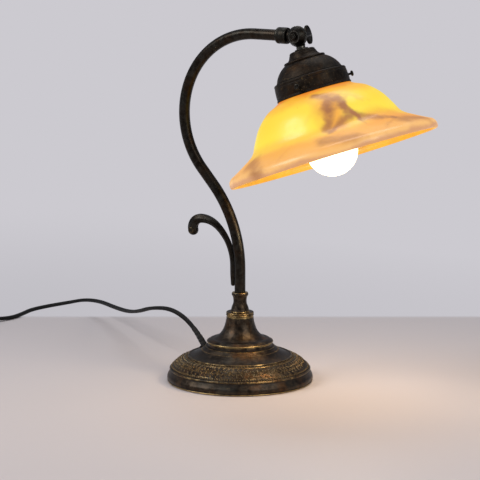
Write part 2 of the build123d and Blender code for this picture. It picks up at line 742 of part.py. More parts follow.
# ---- cord: out of the base, over in a low arch, to a switch, a tied coil and a plug ----
def cord_tube(name, points):
    """Runs joined by arcs as large as the runs allow; prints radii, length and volume."""
    points = [Vector(*point) for point in points]
    radii = []
    for before, corner, after in zip(points, points[1:], points[2:]):
        turn = (corner - before).get_angle(after - corner)
        shorter = min((corner - before).length, (after - corner).length)
        radii.append(0.45 * shorter / tan(radians(turn / 2)))
    with BuildPart() as tube:
        with BuildLine() as route:
            FilletPolyline(*points, radius=radii)
        with BuildSketch(Plane(origin=route.line @ 0, z_dir=route.line % 0)):
            Circle(cord_radius)
        sweep(path=route.line)
    length = sum(edge.length for edge in route.edges())
    ratio = tube.part.volume / (length * pi * cord_radius**2)
    print(name, "radii", [round(radius) for radius in radii], "length", round(length), round(ratio, 3))
    tube.part.label = name
    export_step(tube.part, f"parts/{name}.step")
    return tube.part


arch = cord_tube("cord_arch", [tuple(exit_plane.offset(grommet_flange + 0.2).origin), *arch_route])
lead_in = cord_tube("cord_lead_in", lead_in_route)
lead_out = cord_tube("cord_lead_out", lead_out_route)

# in-line rocker switch, lying on the floor
with BuildPart() as switch_lower:
    with BuildSketch(switch_bed):
        RectangleRounded(switch_length, switch_width, 9)
    extrude(amount=switch_split)
    fillet(switch_lower.edges().group_by(Axis.Z)[0], 1.5)
    with BuildSketch(switch_bed.offset(2.0)):
        RectangleRounded(switch_length - 4, switch_width - 4, 7)
    extrude(amount=switch_split, mode=Mode.SUBTRACT)
    with BuildSketch(switch_bed.offset(1.0)):
        with Locations(*screw_spots):
            Circle(3.4)
    extrude(amount=switch_split - 1)
    with BuildSketch(switch_bed):
        with Locations(*screw_spots):
            Circle(1.5)
    extrude(amount=switch_split, mode=Mode.SUBTRACT)
    with BuildSketch(switch_bed):
        with Locations(*screw_spots):
            Circle(2.7)
    extrude(amount=3.0, mode=Mode.SUBTRACT)
switch_lower.part.label = "switch_lower"
export_step(switch_lower.part, "parts/switch_lower.step")

with BuildPart() as switch_upper:
    with BuildSketch(switch_bed.offset(switch_split)):
        RectangleRounded(switch_length, switch_width, 9)
    extrude(amount=switch_height - switch_split)
    fillet(switch_upper.edges().group_by(Axis.Z)[-1], 3.0)
    with BuildSketch(switch_bed.offset(switch_split)):
        RectangleRounded(switch_length - 4, switch_width - 4, 7)
    extrude(amount=switch_height - switch_split - 2, mode=Mode.SUBTRACT)
    with BuildSketch(switch_bed.offset(switch_split)):
        with Locations(*screw_spots):
            Circle(3.4)
    extrude(amount=switch_height - switch_split - 1.5)
    with BuildSketch(switch_bed.offset(switch_split)):
        with Locations(*screw_spots):
            Circle(1.5)
    extrude(amount=4, mode=Mode.SUBTRACT)
    with BuildSketch(switch_bed.offset(switch_split)):
        Rectangle(rocker_length + 1.8, rocker_width + 1.0)
    extrude(amount=switch_height, mode=Mode.SUBTRACT)
switch_upper.part.label = "switch_upper"
export_step(switch_upper.part, "parts/switch_upper.step")

with BuildPart() as switch_screws:
    with BuildSketch(switch_bed.offset(1.2)):
        with Locations(*screw_spots):
            Circle(2.6)
    extrude(amount=1.8)
    with BuildSketch(switch_bed.offset(3.0)):
        with Locations(*screw_spots):
            Circle(1.45)
    extrude(amount=switch_split + 0.8)
switch_screws.part.label = "switch_screws"
export_step(switch_screws.part, "parts/switch_screws.step")

with BuildPart() as switch_rocker:
    with BuildSketch(rocker_section):
        with BuildLine():
            half = rocker_length / 2
            crest = ThreePointArc((-half, 3.6), (0, 2.3), (half, 3.6))
            Polyline(crest @ 1, (half - 0.6, 0.5), (4, -3.6), (-4, -3.6), (0.6 - half, 0.5), crest @ 0)
        make_face()
    extrude(amount=rocker_width / 2, both=True)
    with BuildSketch(rocker_section):
        Circle(1.5 + running_fit)
    extrude(amount=rocker_width, both=True, mode=Mode.SUBTRACT)
switch_rocker.part.label = "switch_rocker"
export_step(switch_rocker.part, "parts/switch_rocker.step")

with BuildPart() as rocker_pin:
    with BuildSketch(rocker_section):
        Circle(1.5)
    extrude(amount=switch_width / 2 - 2, both=True)
rocker_pin.part.label = "rocker_pin"
export_step(rocker_pin.part, "parts/rocker_pin.step")

with BuildPart() as cord_coil:
    with BuildSketch(Plane(origin=(*coil_centre, coil_lift), x_dir=(1, 0, 0), z_dir=(0, -1, 0))):
        with Locations((coil_radius, coil_height / 2)):
            RectangleRounded(coil_width, coil_height, 4)
    revolve(axis=Axis((*coil_centre, 0), (0, 0, 1)))
    add(lead_in, mode=Mode.SUBTRACT)
    add(lead_out, mode=Mode.SUBTRACT)
cord_coil.part.label = "cord_coil"
export_step(cord_coil.part, "parts/cord_coil.step")

with BuildPart() as coil_tie:
    tie_side = Vector(cos(radians(tie_angle)), sin(radians(tie_angle)), 0)
    tie_plane = Plane(
        origin=Vector(*coil_centre, coil_lift + coil_height / 2) + tie_side * coil_radius,
        x_dir=tie_side,
        z_dir=Vector(0, 0, 1).cross(tie_side),
    )
    with BuildSketch(tie_plane):
        RectangleRounded(coil_width + 2.0, coil_height + 1.6, 4.5)
        RectangleRounded(coil_width + 0.6, coil_height + 0.2, 4.0, mode=Mode.SUBTRACT)
    extrude(amount=2.5, both=True)
coil_tie.part.label = "coil_tie"
export_step(coil_tie.part, "parts/coil_tie.step")

# flat two-pin plug, lying on the floor
with BuildPart() as plug_body:
    with BuildSketch(plug_bed):
        with BuildLine():
            Polyline(
                (0, -4.5), (10, -5.5), (18, -13.0), (plug_length, -13.0), (plug_length, 13.0),
                (18, 13.0), (10, 5.5), (0, 4.5), close=True,
            )
        make_face()
    extrude(amount=plug_height)
    fillet(plug_body.edges().group_by(Axis.Z)[-1], 2.5)
    fillet(plug_body.edges().group_by(Axis.Z)[0], 1.5)
    with BuildSketch(plug_face.offset(-pin_root_length)):
        with Locations(*pin_spots):
            Circle(pin_root_radius)
    extrude(amount=pin_root_length, mode=Mode.SUBTRACT)
plug_body.part.label = "plug_body"
export_step(plug_body.part, "parts/plug_body.step")

with BuildPart() as plug_pins:
    with BuildSketch(plug_face.offset(-pin_root_length)):
        with Locations(*pin_spots):
            Circle(pin_root_radius)
    extrude(amount=pin_root_length)
    with BuildSketch(plug_face):
        with Locations(*pin_spots):
            Circle(pin_radius)
    extrude(amount=pin_length)
    fillet(plug_pins.edges().filter_by(GeomType.CIRCLE).group_by(Axis(plug_face.origin, plug_heading))[-1], 1.0)
plug_pins.part.label = "plug_pins"
export_step(plug_pins.part, "parts/plug_pins.step")
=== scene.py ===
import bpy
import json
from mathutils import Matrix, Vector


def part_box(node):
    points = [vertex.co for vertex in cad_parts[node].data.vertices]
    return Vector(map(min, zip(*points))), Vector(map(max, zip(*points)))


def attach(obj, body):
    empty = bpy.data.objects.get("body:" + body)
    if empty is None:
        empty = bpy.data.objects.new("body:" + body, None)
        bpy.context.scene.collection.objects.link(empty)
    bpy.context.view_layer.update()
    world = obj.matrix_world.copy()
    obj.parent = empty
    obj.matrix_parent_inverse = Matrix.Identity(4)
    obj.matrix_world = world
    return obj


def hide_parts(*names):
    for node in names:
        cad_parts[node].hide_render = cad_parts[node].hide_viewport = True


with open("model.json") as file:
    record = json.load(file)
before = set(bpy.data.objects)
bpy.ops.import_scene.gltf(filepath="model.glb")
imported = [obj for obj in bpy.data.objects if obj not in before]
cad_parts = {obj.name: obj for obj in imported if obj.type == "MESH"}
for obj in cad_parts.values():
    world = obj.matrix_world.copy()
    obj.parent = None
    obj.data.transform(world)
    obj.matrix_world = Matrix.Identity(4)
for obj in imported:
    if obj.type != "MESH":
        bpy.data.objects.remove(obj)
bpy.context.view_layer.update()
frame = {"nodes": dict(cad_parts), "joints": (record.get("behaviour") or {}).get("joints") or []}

import json
from math import atan2, ceil, cos, degrees, pi, radians, sin, sqrt, tau

import bmesh
import bpy
import numpy as np
from bpy.props import FloatProperty, FloatVectorProperty, IntProperty, PointerProperty
from mathutils import Matrix, Vector

bl_info = {
    "name": "Banker desk lamp",
    "version": (1, 0, 0),
    "blender": (4, 5, 0),
    "location": "3D View > Sidebar > Lamp",
    "description": "Turned brass desk lamp with a scrolled arm and a glowing glass shade",
    "category": "Object",
}

MM = 0.001


# ---- places ----
def joint(name):
    """The frame's row for one joint."""
    return next(entry for entry in frame["joints"] if entry["name"] == name)


def seat(origin, across, along):
    """Right-handed place: its z runs along the axis, its x across it."""
    z = Vector(along).normalized()
    x = (Vector(across) - z * z.dot(Vector(across))).normalized()
    place = Matrix((x, z.cross(x), z)).transposed().to_4x4()
    place.translation = Vector(origin)
    return place


# how far the thumbscrews sit below the knuckle, in mm
SCREW_DEPTH = 58.5
# the cord switch's direction on the table, in degrees, and half its length, in mm
SWITCH_HEADING = 236.0
SWITCH_HALF = 30.0
# the bend, in 1/m, at which an edge counts as fully crisp
CRISP_BEND = 1100.0

KNUCKLE = Vector(joint("shade_tilt")["pos_m"])
HEAD_AXIS = Vector(joint("bulb_unscrew")["axis"]).normalized()
UPRIGHT = Matrix.Identity(4)
HEAD = seat(KNUCKLE, (1, 0, 0), HEAD_AXIS)
BOLT = seat(KNUCKLE, (1, 0, 0), (0, 1, 0))
REACH = seat(KNUCKLE, (0, 1, 0), (1, 0, 0))


# ---- outlines, in millimetres ----
def circle_through(a, m, b):
    """The centre of the circle through three points."""
    (ax, ay), (mx, my), (bx, by) = a, m, b
    twice = 2 * (ax * (my - by) + mx * (by - ay) + bx * (ay - my))
    aa, mm, bb = ax * ax + ay * ay, mx * mx + my * my, bx * bx + by * by
    return (
        (aa * (my - by) + mm * (by - ay) + bb * (ay - my)) / twice,
        (aa * (bx - mx) + mm * (ax - bx) + bb * (mx - ax)) / twice,
    )


def arc_between(a, m, b, step=7.0):
    """Points after a, on the circle through m, as far as b."""
    cx, cy = circle_through(a, m, b)
    start = atan2(a[1] - cy, a[0] - cx)
    through = (atan2(m[1] - cy, m[0] - cx) - start) % tau
    sweep = (atan2(b[1] - cy, b[0] - cx) - start) % tau
    if through > sweep:
        sweep -= tau
    radius = sqrt((a[0] - cx) ** 2 + (a[1] - cy) ** 2)
    count = max(3, ceil(abs(degrees(sweep)) / step))
    turns = (start + sweep * k / count for k in range(1, count + 1))
    return [(cx + radius * cos(turn), cy + radius * sin(turn)) for turn in turns]


def curve_through(points, per=7):
    """Points after the first, on a smooth curve through them all."""
    knots = [Vector(p) for p in points]
    slopes = []
    for k, knot in enumerate(knots):
        before, after = knots[max(k - 1, 0)], knots[min(k + 1, len(knots) - 1)]
        slopes.append((after - before) / max((after - knot).length + (knot - before).length, 1e-9))
    made = []
    for k in range(len(knots) - 1):
        a, b = knots[k], knots[k + 1]
        run = (b - a).length
        for n in range(1, per + 1):
            t = n / per
            made.append(tuple(
                a * (2 * t**3 - 3 * t**2 + 1) + slopes[k] * run * (t**3 - 2 * t**2 + t)
                + b * (3 * t**2 - 2 * t**3) + slopes[k + 1] * run * (t**3 - t**2)
            ))
    return made


def outline(start, *steps):
    """Each step is (r, h), a straight line to it, or ((r, h), (r, h)), an arc through to the second,
    or a list of points, a smooth curve through them."""
    made = [start]
    for step in steps:
        if isinstance(step, list):
            made += curve_through([made[-1], *step])
        elif isinstance(step[0], tuple):
            made += arc_between(made[-1], *step)
        else:
            made.append(step)
    return made


def eased(profile, radius=0.3, least=25.0):
    """The closed outline with a small round at each corner that turns sharply."""
    made = []
    for k, point in enumerate(profile):
        here = Vector(point)
        before = Vector(profile[k - 1]) - here
        after = Vector(profile[(k + 1) % len(profile)]) - here
        if min(before.length, after.length) < 1e-6:
            continue
        turn = 180 - degrees(before.angle(after))
        if turn < least or here.x < 0.01:
            made.append(point)
            continue
        reach = min(radius, 0.4 * before.length, 0.4 * after.length)
        first, last = here + before.normalized() * reach, here + after.normalized() * reach
        middle = (first + last) * 0.25 + here * 0.5
        made += [tuple(first), tuple(middle), tuple(last)]
    return made


# ---- meshes ----
def mark_edges(mesh):
    """Stores how the surface bends at each point: 1 on a crisp edge, -1 in a crisp hollow."""
    points = np.zeros(len(mesh.vertices) * 3)
    mesh.vertices.foreach_get("co", points)
    points = points.reshape(-1, 3)
    normals = np.zeros(len(mesh.vertices) * 3)
    mesh.vertex_normals.foreach_get("vector", normals)
    normals = normals.reshape(-1, 3)
    ends = np.zeros(len(mesh.edges) * 2, int)
    mesh.edges.foreach_get("vertices", ends)
    a, b = ends.reshape(-1, 2).T
    run = points[b] - points[a]
    bend = np.sum((normals[b] - normals[a]) * run, 1) / np.maximum(np.sum(run * run, 1), 1e-12)
    count = len(points)
    total = np.bincount(a, bend, count) + np.bincount(b, bend, count)
    lines = np.bincount(a, minlength=count) + np.bincount(b, minlength=count)
    value = np.clip(total / np.maximum(lines, 1) / CRISP_BEND, -1, 1)
    attribute = mesh.attributes.get("edge") or mesh.attributes.new("edge", "FLOAT", "POINT")
    attribute.data.foreach_set("value", value.astype(np.float32))


def settle(mesh, sharp=38.0, recalculate=True):
    """Faces outwards, smooth but for real corners, and the edges marked for wear."""
    if recalculate:
        work = bmesh.new()
        work.from_mesh(mesh)
        bmesh.ops.remove_doubles(work, verts=work.verts, dist=1e-6)
        bmesh.ops.recalc_face_normals(work, faces=work.faces)
        work.to_mesh(mesh)
        work.free()
    mesh.shade_smooth()
    mesh.set_sharp_from_angle(angle=radians(sharp))
    mark_edges(mesh)
    return mesh


def piece(name, mesh, body, finish, replaces=(), slot=None):
    """The mesh as a finished piece that rides on a body."""
    mesh.name = name
    obj = bpy.data.objects.new(name, mesh)
    bpy.context.scene.collection.objects.link(obj)
    mesh.materials.clear()
    mesh.materials.append(finish)
    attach(obj, body)
    slot or finish.name
    if replaces:
        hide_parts(*replaces)
    return obj


def mesh_of(verts, faces, place=UPRIGHT, sharp=38.0):
    """A settled mesh from points in mm, at a place."""
    mesh = bpy.data.meshes.new("work")
    mesh.from_pydata([place @ (Vector(v) * MM) for v in verts], [], faces)
    return settle(mesh, sharp)


def turned(profile, place=UPRIGHT, sides=112, round_over=0.3, sharp=38.0):
    """A turned piece: the closed outline of (radius, height) swept about the place's z axis."""
    verts, rings = [], []
    for radius, height in eased(profile, round_over) if round_over else profile:
        if radius < 0.01:
            rings.append([len(verts)] * sides)
            verts.append((0, 0, height))
            continue
        rings.append(range(len(verts), len(verts) + sides))
        for k in range(sides):
            verts.append((radius * cos(tau * k / sides), radius * sin(tau * k / sides), height))
    return mesh_of(verts, bands(rings, sides, closed=True), place, sharp)


def bands(rings, sides, closed=False):
    """Faces between each ring of points and the next."""
    faces = []
    following = [*rings[1:], rings[0]] if closed else rings[1:]
    for ring, after in zip(rings, following):
        for k in range(sides):
            n = (k + 1) % sides
            face = list(dict.fromkeys((ring[k], ring[n], after[n], after[k])))
            if len(face) > 2:
                faces.append(face)
    return faces


def bent_path(start, heading, *moves, step=3.0):
    """Points in the lamp's own plane, x and z: a move is a length, or (radius, degrees to the left)."""
    x, z = start
    way = radians(heading)
    made = [(x, z)]
    for move in moves:
        if isinstance(move, tuple):
            radius, angle = move
            side = 1 if angle > 0 else -1
            cx, cz = x - side * radius * sin(way), z + side * radius * cos(way)
            count = max(3, ceil(abs(angle) / step))
            for _ in range(count):
                way += radians(angle) / count
                x, z = cx + side * radius * sin(way), cz - side * radius * cos(way)
                made.append((x, z))
        else:
            count = max(2, ceil(move / 6))
            for _ in range(count):
                x, z = x + cos(way) * move / count, z + sin(way) * move / count
                made.append((x, z))
    return made


def swept(points, firsts, section, sides, sharp=50.0):
    """A section swept along points in mm; firsts are the section's first directions there.
    section(share, turn) gives the two offsets in mm, and zero for all turns makes a pole."""
    points = [Vector(p) for p in points]
    spans = [(b - a).length for a, b in zip(points, points[1:])]
    total = sum(spans)
    verts, rings, done = [], [], 0.0
    last = len(points) - 1
    for k, point in enumerate(points):
        tangent = (points[min(k + 1, last)] - points[max(k - 1, 0)]).normalized()
        first = (Vector(firsts[k]) - tangent * tangent.dot(Vector(firsts[k]))).normalized()
        second = tangent.cross(first)
        share = done / total
        offsets = [section(share, tau * n / sides) for n in range(sides)]
        if max(abs(u) + abs(v) for u, v in offsets) < 1e-4:
            rings.append([len(verts)] * sides)
            verts.append(point)
        else:
            rings.append(range(len(verts), len(verts) + sides))
            verts += [point + first * u + second * v for u, v in offsets]
        done += spans[k] if k < last else 0
    faces = bands(rings, sides)
    for end in (rings[0], rings[-1]):
        if len(set(end)) > 1:
            faces.append(list(end))
    return mesh_of(verts, faces, sharp=sharp)


def joined(*meshes):
    """Several meshes as one."""
    work = bmesh.new()
    for mesh in meshes:
        work.from_mesh(mesh)
    made = bpy.data.meshes.new("work")
    work.to_mesh(made)
    work.free()
    return settle(made, recalculate=False)


def merged_copy(node, width=0.25, place=UPRIGHT, segments=2):
    """A CAD node's shape with its points merged and its crisp edges rounded over, width in mm."""
    mesh = frame["nodes"][node].data.copy()
    mesh.transform(place)
    work = bmesh.new()
    work.from_mesh(mesh)
    bmesh.ops.remove_doubles(work, verts=work.verts, dist=2e-6)
    flat = radians(4)
    bmesh.ops.dissolve_limit(work, angle_limit=flat, verts=work.verts, edges=work.edges)
    crisp = [e for e in work.edges if e.is_manifold and e.calc_face_angle(0) > radians(30)]
    if width:
        bmesh.ops.bevel(
            work, geom=crisp, offset=width * MM, offset_type="OFFSET", segments=segments,
            profile=0.5, affect="EDGES", clamp_overlap=True,
        )
    work.to_mesh(mesh)
    work.free()
    return settle(mesh, recalculate=False)


# ---- repeated shapes, with Geometry Nodes ----
def link(tree, source, target):
    tree.links.new(source, target)


def repeat_tree(name, inputs):
    tree = bpy.data.node_groups.new(name, "GeometryNodeTree")
    tree.interface.new_socket("Shape", in_out="INPUT", socket_type="NodeSocketGeometry")
    for label, kind, default in inputs:
        entry = tree.interface.new_socket(label, in_out="INPUT", socket_type=kind)
        if default is not None:
            entry.default_value = default
    tree.interface.new_socket("Result", in_out="OUTPUT", socket_type="NodeSocketGeometry")
    return tree, tree.nodes.new("NodeGroupInput").outputs, tree.nodes.new("NodeGroupOutput").inputs


def add_math(tree, operation, *values):
    node = tree.nodes.new("ShaderNodeMath")
    node.operation = operation
    for socket, value in zip(node.inputs, values):
        if isinstance(value, (int, float)):
            socket.default_value = value
        else:
            link(tree, value, socket)
    return node.outputs[0]


def finish_tree(tree, points, shape, turn, given, result):
    """Instances of the shape on the points, made real, with their material."""
    place = tree.nodes.new("GeometryNodeInstanceOnPoints")
    real = tree.nodes.new("GeometryNodeRealizeInstances")
    paint = tree.nodes.new("GeometryNodeSetMaterial")
    link(tree, points, place.inputs["Points"])
    link(tree, shape, place.inputs["Instance"])
    if turn is not None:
        link(tree, turn, place.inputs["Rotation"])
    link(tree, place.outputs[0], real.inputs[0])
    link(tree, real.outputs[0], paint.inputs["Geometry"])
    link(tree, given["Material"], paint.inputs["Material"])
    link(tree, paint.outputs[0], result[0])


def ring_tree():
    """Copies of a shape in a ring about z, each leaning out by the same angle."""
    tree, given, result = repeat_tree("ring_of_shapes", [
        ("Count", "NodeSocketInt", 12),
        ("Radius", "NodeSocketFloat", 0.05),
        ("Height", "NodeSocketFloat", 0.0),
        ("Lean", "NodeSocketFloat", 0.0),
        ("Start", "NodeSocketFloat", 0.0),
        ("Material", "NodeSocketMaterial", None),
    ])
    out = tree.nodes.new("ShaderNodeCombineXYZ")
    tilt = tree.nodes.new("ShaderNodeCombineXYZ")
    move = tree.nodes.new("GeometryNodeTransform")
    link(tree, given["Radius"], out.inputs["X"])
    link(tree, given["Height"], out.inputs["Z"])
    link(tree, given["Lean"], tilt.inputs["Y"])
    link(tree, given["Shape"], move.inputs["Geometry"])
    link(tree, out.outputs[0], move.inputs["Translation"])
    link(tree, tilt.outputs[0], move.inputs["Rotation"])
    dots = tree.nodes.new("GeometryNodePoints")
    link(tree, given["Count"], dots.inputs["Count"])
    index = tree.nodes.new("GeometryNodeInputIndex").outputs[0]
    spin = add_math(tree, "DIVIDE", add_math(tree, "MULTIPLY", index, tau), given["Count"])
    turn = tree.nodes.new("FunctionNodeAxisAngleToRotation")
    turn.inputs["Axis"].default_value = (0, 0, 1)
    link(tree, add_math(tree, "ADD", spin, given["Start"]), turn.inputs["Angle"])
    finish_tree(tree, dots.outputs[0], move.outputs[0], turn.outputs[0], given, result)
    return tree


def row_tree():
    """Copies of a shape in a straight row, one step apart."""
    tree, given, result = repeat_tree("row_of_shapes", [
        ("Count", "NodeSocketInt", 5),
        ("Step", "NodeSocketVector", (0.01, 0, 0)),
        ("Material", "NodeSocketMaterial", None),
    ])
    line = tree.nodes.new("GeometryNodeMeshLine")
    line.mode = "OFFSET"
    link(tree, given["Count"], line.inputs["Count"])
    link(tree, given["Step"], line.inputs["Offset"])
    finish_tree(tree, line.outputs[0], given["Shape"], None, given, result)
    return tree


def repeated(tree, shape, finish, place=UPRIGHT, **values):
    """The tree's result for one shape, as a plain mesh; values are the tree's named inputs."""
    carrier = bpy.data.objects.new("carrier", shape)
    bpy.context.scene.collection.objects.link(carrier)
    modifier = carrier.modifiers.new("repeat", "NODES")
    modifier.node_group = tree
    values["Material"] = finish
    for entry in tree.interface.items_tree:
        if entry.in_out == "INPUT" and entry.name in values:
            modifier[entry.identifier] = values[entry.name]
    carrier.update_tag()
    graph = bpy.context.evaluated_depsgraph_get()
    graph.update()
    made = bpy.data.meshes.new_from_object(carrier.evaluated_get(graph), depsgraph=graph)
    carrier.modifiers.remove(modifier)
    bpy.data.objects.remove(carrier)
    made.transform(place)
    return settle(made, recalculate=False)


# ---- shader building ----
class Wire:
    """A socket that carries a number: sums on it become Math nodes."""

    def __init__(self, finish, socket):
        self.finish = finish
        self.socket = socket

    def __add__(self, other):
        return self.finish.math("ADD", self, other)

    def __mul__(self, other):
        return self.finish.math("MULTIPLY", self, other)

    def __sub__(self, other):
        return self.finish.math("SUBTRACT", self, other)

    def __rsub__(self, other):
        return self.finish.math("SUBTRACT", other, self)

    def __truediv__(self, other):
        return self.finish.math("DIVIDE", self, other)

    def __neg__(self):
        return self.finish.math("MULTIPLY", self, -1.0)

    __radd__ = __add__
    __rmul__ = __mul__


class Finish:
    """A material, built from nodes in the order they are asked for."""

    def __init__(self, name):
        self.material = bpy.data.materials.new(name)
        self.material.name = name
        self.material.use_nodes = True
        self.tree = self.material.node_tree
        self.tree.nodes.clear()
        self.out = self.tree.nodes.new("ShaderNodeOutputMaterial")
        self.place = self.node("ShaderNodeTexCoord").outputs["Object"]

    def node(self, kind, settings=(), sockets=()):
        """A node: settings first, then the values or links of its sockets."""
        node = self.tree.nodes.new(kind)
        for key, value in dict(settings).items():
            if key == "stops":
                for stop, (position, colour) in enumerate(value):
                    ramp = node.color_ramp.elements
                    node.color_ramp.interpolation = "EASE"
                    entry = ramp[stop] if stop < len(ramp) else ramp.new(position)
                    entry.position, entry.color = position, colour
            else:
                setattr(node, key, value)
        for key, value in dict(sockets).items():
            self.feed(node.inputs[key], value)
        return node

    def feed(self, socket, value):
        if isinstance(value, Wire):
            value = value.socket
        if isinstance(value, bpy.types.NodeSocket):
            self.tree.links.new(value, socket)
        elif value is not None:
            socket.default_value = value

    def math(self, operation, *values, clamp=False):
        made = self.node(
            "ShaderNodeMath", {"operation": operation, "use_clamp": clamp}, enumerate(values)
        )
        return Wire(self, made.outputs[0])

    def bigger(self, a, b):
        return self.math("MAXIMUM", a, b)

    def clamped(self, value):
        return self.math("ADD", value, 0.0, clamp=True)

    def vector(self, operation, *values):
        made = self.node("ShaderNodeVectorMath", {"operation": operation}, enumerate(values))
        if operation in ("DOT_PRODUCT", "LENGTH", "DISTANCE"):
            return Wire(self, made.outputs["Value"])
        return made.outputs["Vector"]

    def scaled(self, vector, factor):
        made = self.node(
            "ShaderNodeVectorMath", {"operation": "SCALE"}, {0: vector, "Scale": factor}
        )
        return made.outputs["Vector"]

    def moved(self, shift=(0, 0, 0), stretch=(1, 1, 1)):
        made = self.node(
            "ShaderNodeMapping", (), {"Vector": self.place, "Location": shift, "Scale": stretch}
        )
        return made.outputs[0]

    def noise(self, scale, detail=3.0, rough=0.55, warp=0.0, at=None):
        made = self.node("ShaderNodeTexNoise", (), {
            "Vector": at or self.place, "Scale": scale, "Detail": detail,
            "Roughness": rough, "Distortion": warp,
        })
        return Wire(self, made.outputs[0])

    def wander(self, scale, amount, at=None):
        """The place, moved about by a noise, for lines that aren't straight."""
        made = self.node("ShaderNodeTexNoise", (), {
            "Vector": at or self.place, "Scale": scale, "Detail": 3.0, "Roughness": 0.55,
        })
        centred = self.vector("SUBTRACT", made.outputs["Color"], (0.5, 0.5, 0.5))
        return self.vector("ADD", at or self.place, self.scaled(centred, amount))

    def cells(self, scale, feature="F1", at=None):
        made = self.node("ShaderNodeTexVoronoi", {"feature": feature}, {
            "Vector": at or self.place, "Scale": scale,
        })
        return Wire(self, made.outputs["Distance"])

    def attribute(self, name):
        made = self.node("ShaderNodeAttribute", {"attribute_name": name})
        return Wire(self, made.outputs["Fac"])

    def step(self, value, low, high, start=0.0, end=1.0):
        made = self.node("ShaderNodeMapRange", {"interpolation_type": "SMOOTHSTEP"}, {
            "Value": value, "From Min": low, "From Max": high, "To Min": start, "To Max": end,
        })
        return Wire(self, made.outputs[0])

    def mix(self, share, a, b, blend="MIX"):
        made = self.node(
            "ShaderNodeMix", {"data_type": "RGBA", "blend_type": blend},
            {0: share, 6: a, 7: b},
        )
        return made.outputs[2]

    def ramp(self, share, stops):
        made = self.node("ShaderNodeValToRGB", {"stops": stops}, {"Fac": share})
        return made.outputs["Color"]

    def bump(self, height, depth, strength=1.0):
        made = self.node("ShaderNodeBump", (), {
            "Height": height, "Distance": depth, "Strength": strength,
        })
        return made.outputs[0]

    def surface(self, **sockets):
        names = {key.replace("_", " ").title(): value for key, value in sockets.items()}
        names = {key.replace("Ior", "IOR"): value for key, value in names.items()}
        shader = self.node("ShaderNodeBsdfPrincipled", (), names)
        self.tree.links.new(shader.outputs[0], self.out.inputs["Surface"])
        return self.material


def tone(red, green, blue):
    """A colour from its 0-255 screen values."""
    def linear(value):
        value /= 255
        return value / 12.92 if value <= 0.04045 else ((value + 0.055) / 1.055) ** 2.4
    return (linear(red), linear(green), linear(blue), 1.0)


def shaded(colour, factor):
    """The colour made darker or lighter."""
    return (*(channel * factor for channel in colour[:3]), 1.0)


def between(a, b):
    """The colour half way from one to another."""
    return (*((x + y) / 2 for x, y in zip(a[:3], b[:3])), 1.0)


# ---- finishes ----
def aged_metal(name, deep, body, cool, warm, rubbed, wear=1.0, satin=0.4, fleck=0.5, grit=1.0):
    """Patinated brass: dark in the hollows, mottled on the faces, rubbed bright on the edges."""
    f = Finish(name)
    cloud = f.noise(30, 4, 0.55)
    other = f.noise(47, 4, 0.6, at=f.moved(shift=(0.31, 0.17, 0.23)))
    mottle = f.noise(150, 6, 0.66, warp=0.5)
    grain = f.noise(900, 4, 0.62)
    edge = f.attribute("edge")
    hollow = f.clamped(edge * -1.6)
    colour = f.mix(f.step(mottle, 0.36, 0.66), deep, body)
    colour = f.mix(f.step(cloud, 0.48, 0.72) * 0.75, colour, cool)
    colour = f.mix(f.step(other, 0.5, 0.74) * 0.7, colour, warm)
    colour = f.mix(hollow * 0.85, colour, shaded(deep, 0.45))
    worn = (edge + (mottle - 0.5) * 0.9 + (grain - 0.5) * 0.7) * wear
    rub = f.step(worn, 0.3, 0.78)
    pins = f.step(grain * 0.62 + mottle * 0.5, 0.66, 0.74) * fleck
    bright = f.bigger(rub, pins)
    colour = f.mix(bright, colour, rubbed)
    rough = f.clamped(mottle * 0.34 + (satin - 0.12) - rub * 0.12 + hollow * 0.2)
    relief = mottle * 0.6 + grain * 0.4
    return f.surface(
        base_color=colour, metallic=f.clamped(1.0 - hollow * 0.5), roughness=rough,
        normal=f.bump(relief, 0.0005 * grit, 0.55),
    )


def plain_metal(name, colour, dull, satin=0.3, turned_lines=0.0, cast=0.0):
    """Bright or cast metal with fine tool lines, a few dull stains and handling marks."""
    f = Finish(name)
    stain = f.noise(60, 5, 0.6)
    fine = f.noise(1400, 3, 0.6)
    lines = f.noise(500, 2, 0.5, at=f.moved(stretch=(1, 1, 9)))
    rub = f.clamped(f.attribute("edge"))
    base = f.mix(f.step(stain, 0.42, 0.7) * 0.8, colour, dull)
    base = f.mix(rub * 0.5, base, shaded(colour, 1.15))
    rough = f.clamped(stain * 0.25 + fine * 0.12 + (satin - 0.12) - rub * 0.08)
    height = lines * turned_lines + fine * (0.3 + cast) + f.noise(240, 5, 0.7) * cast
    return f.surface(
        base_color=base, metallic=1.0 if not cast else 0.7, roughness=rough,
        normal=f.bump(height, 0.0004, 0.4),
    )


def moulded(name, colour, light, satin=0.42, spark=900.0):
    """Moulded plastic or rubber: spark-eroded texture, edges that catch dust and polish."""
    f = Finish(name)
    fine = f.noise(spark, 3, 0.6)
    soft = f.noise(45, 4, 0.55)
    edge = f.attribute("edge")
    dust = f.clamped(edge * 0.7 + (soft - 0.5) * 0.8)
    base = f.mix(dust * 0.55, colour, light)
    base = f.mix(f.step(fine, 0.62, 0.75) * 0.3, base, shaded(light, 1.2))
    rough = f.clamped(fine * 0.22 + soft * 0.2 + (satin - 0.18))
    return f.surface(
        base_color=base, roughness=rough, normal=f.bump(fine, 0.0003, 0.5),
    )


def cord_sheath(name):
    """Black flexible sheath with faint drawing lines along it and scuffs across."""
    f = Finish(name)
    scuff = f.noise(130, 5, 0.65)
    fine = f.noise(1500, 2, 0.5)
    base = f.mix(f.step(scuff, 0.5, 0.72), tone(11, 11, 11), tone(30, 29, 29))
    rough = f.clamped(scuff * 0.3 + fine * 0.12 + 0.4)
    return f.surface(
        base_color=base, roughness=rough, specular_ior_level=0.22,
        normal=f.bump(fine + scuff * 0.4, 0.0002, 0.4),
    )


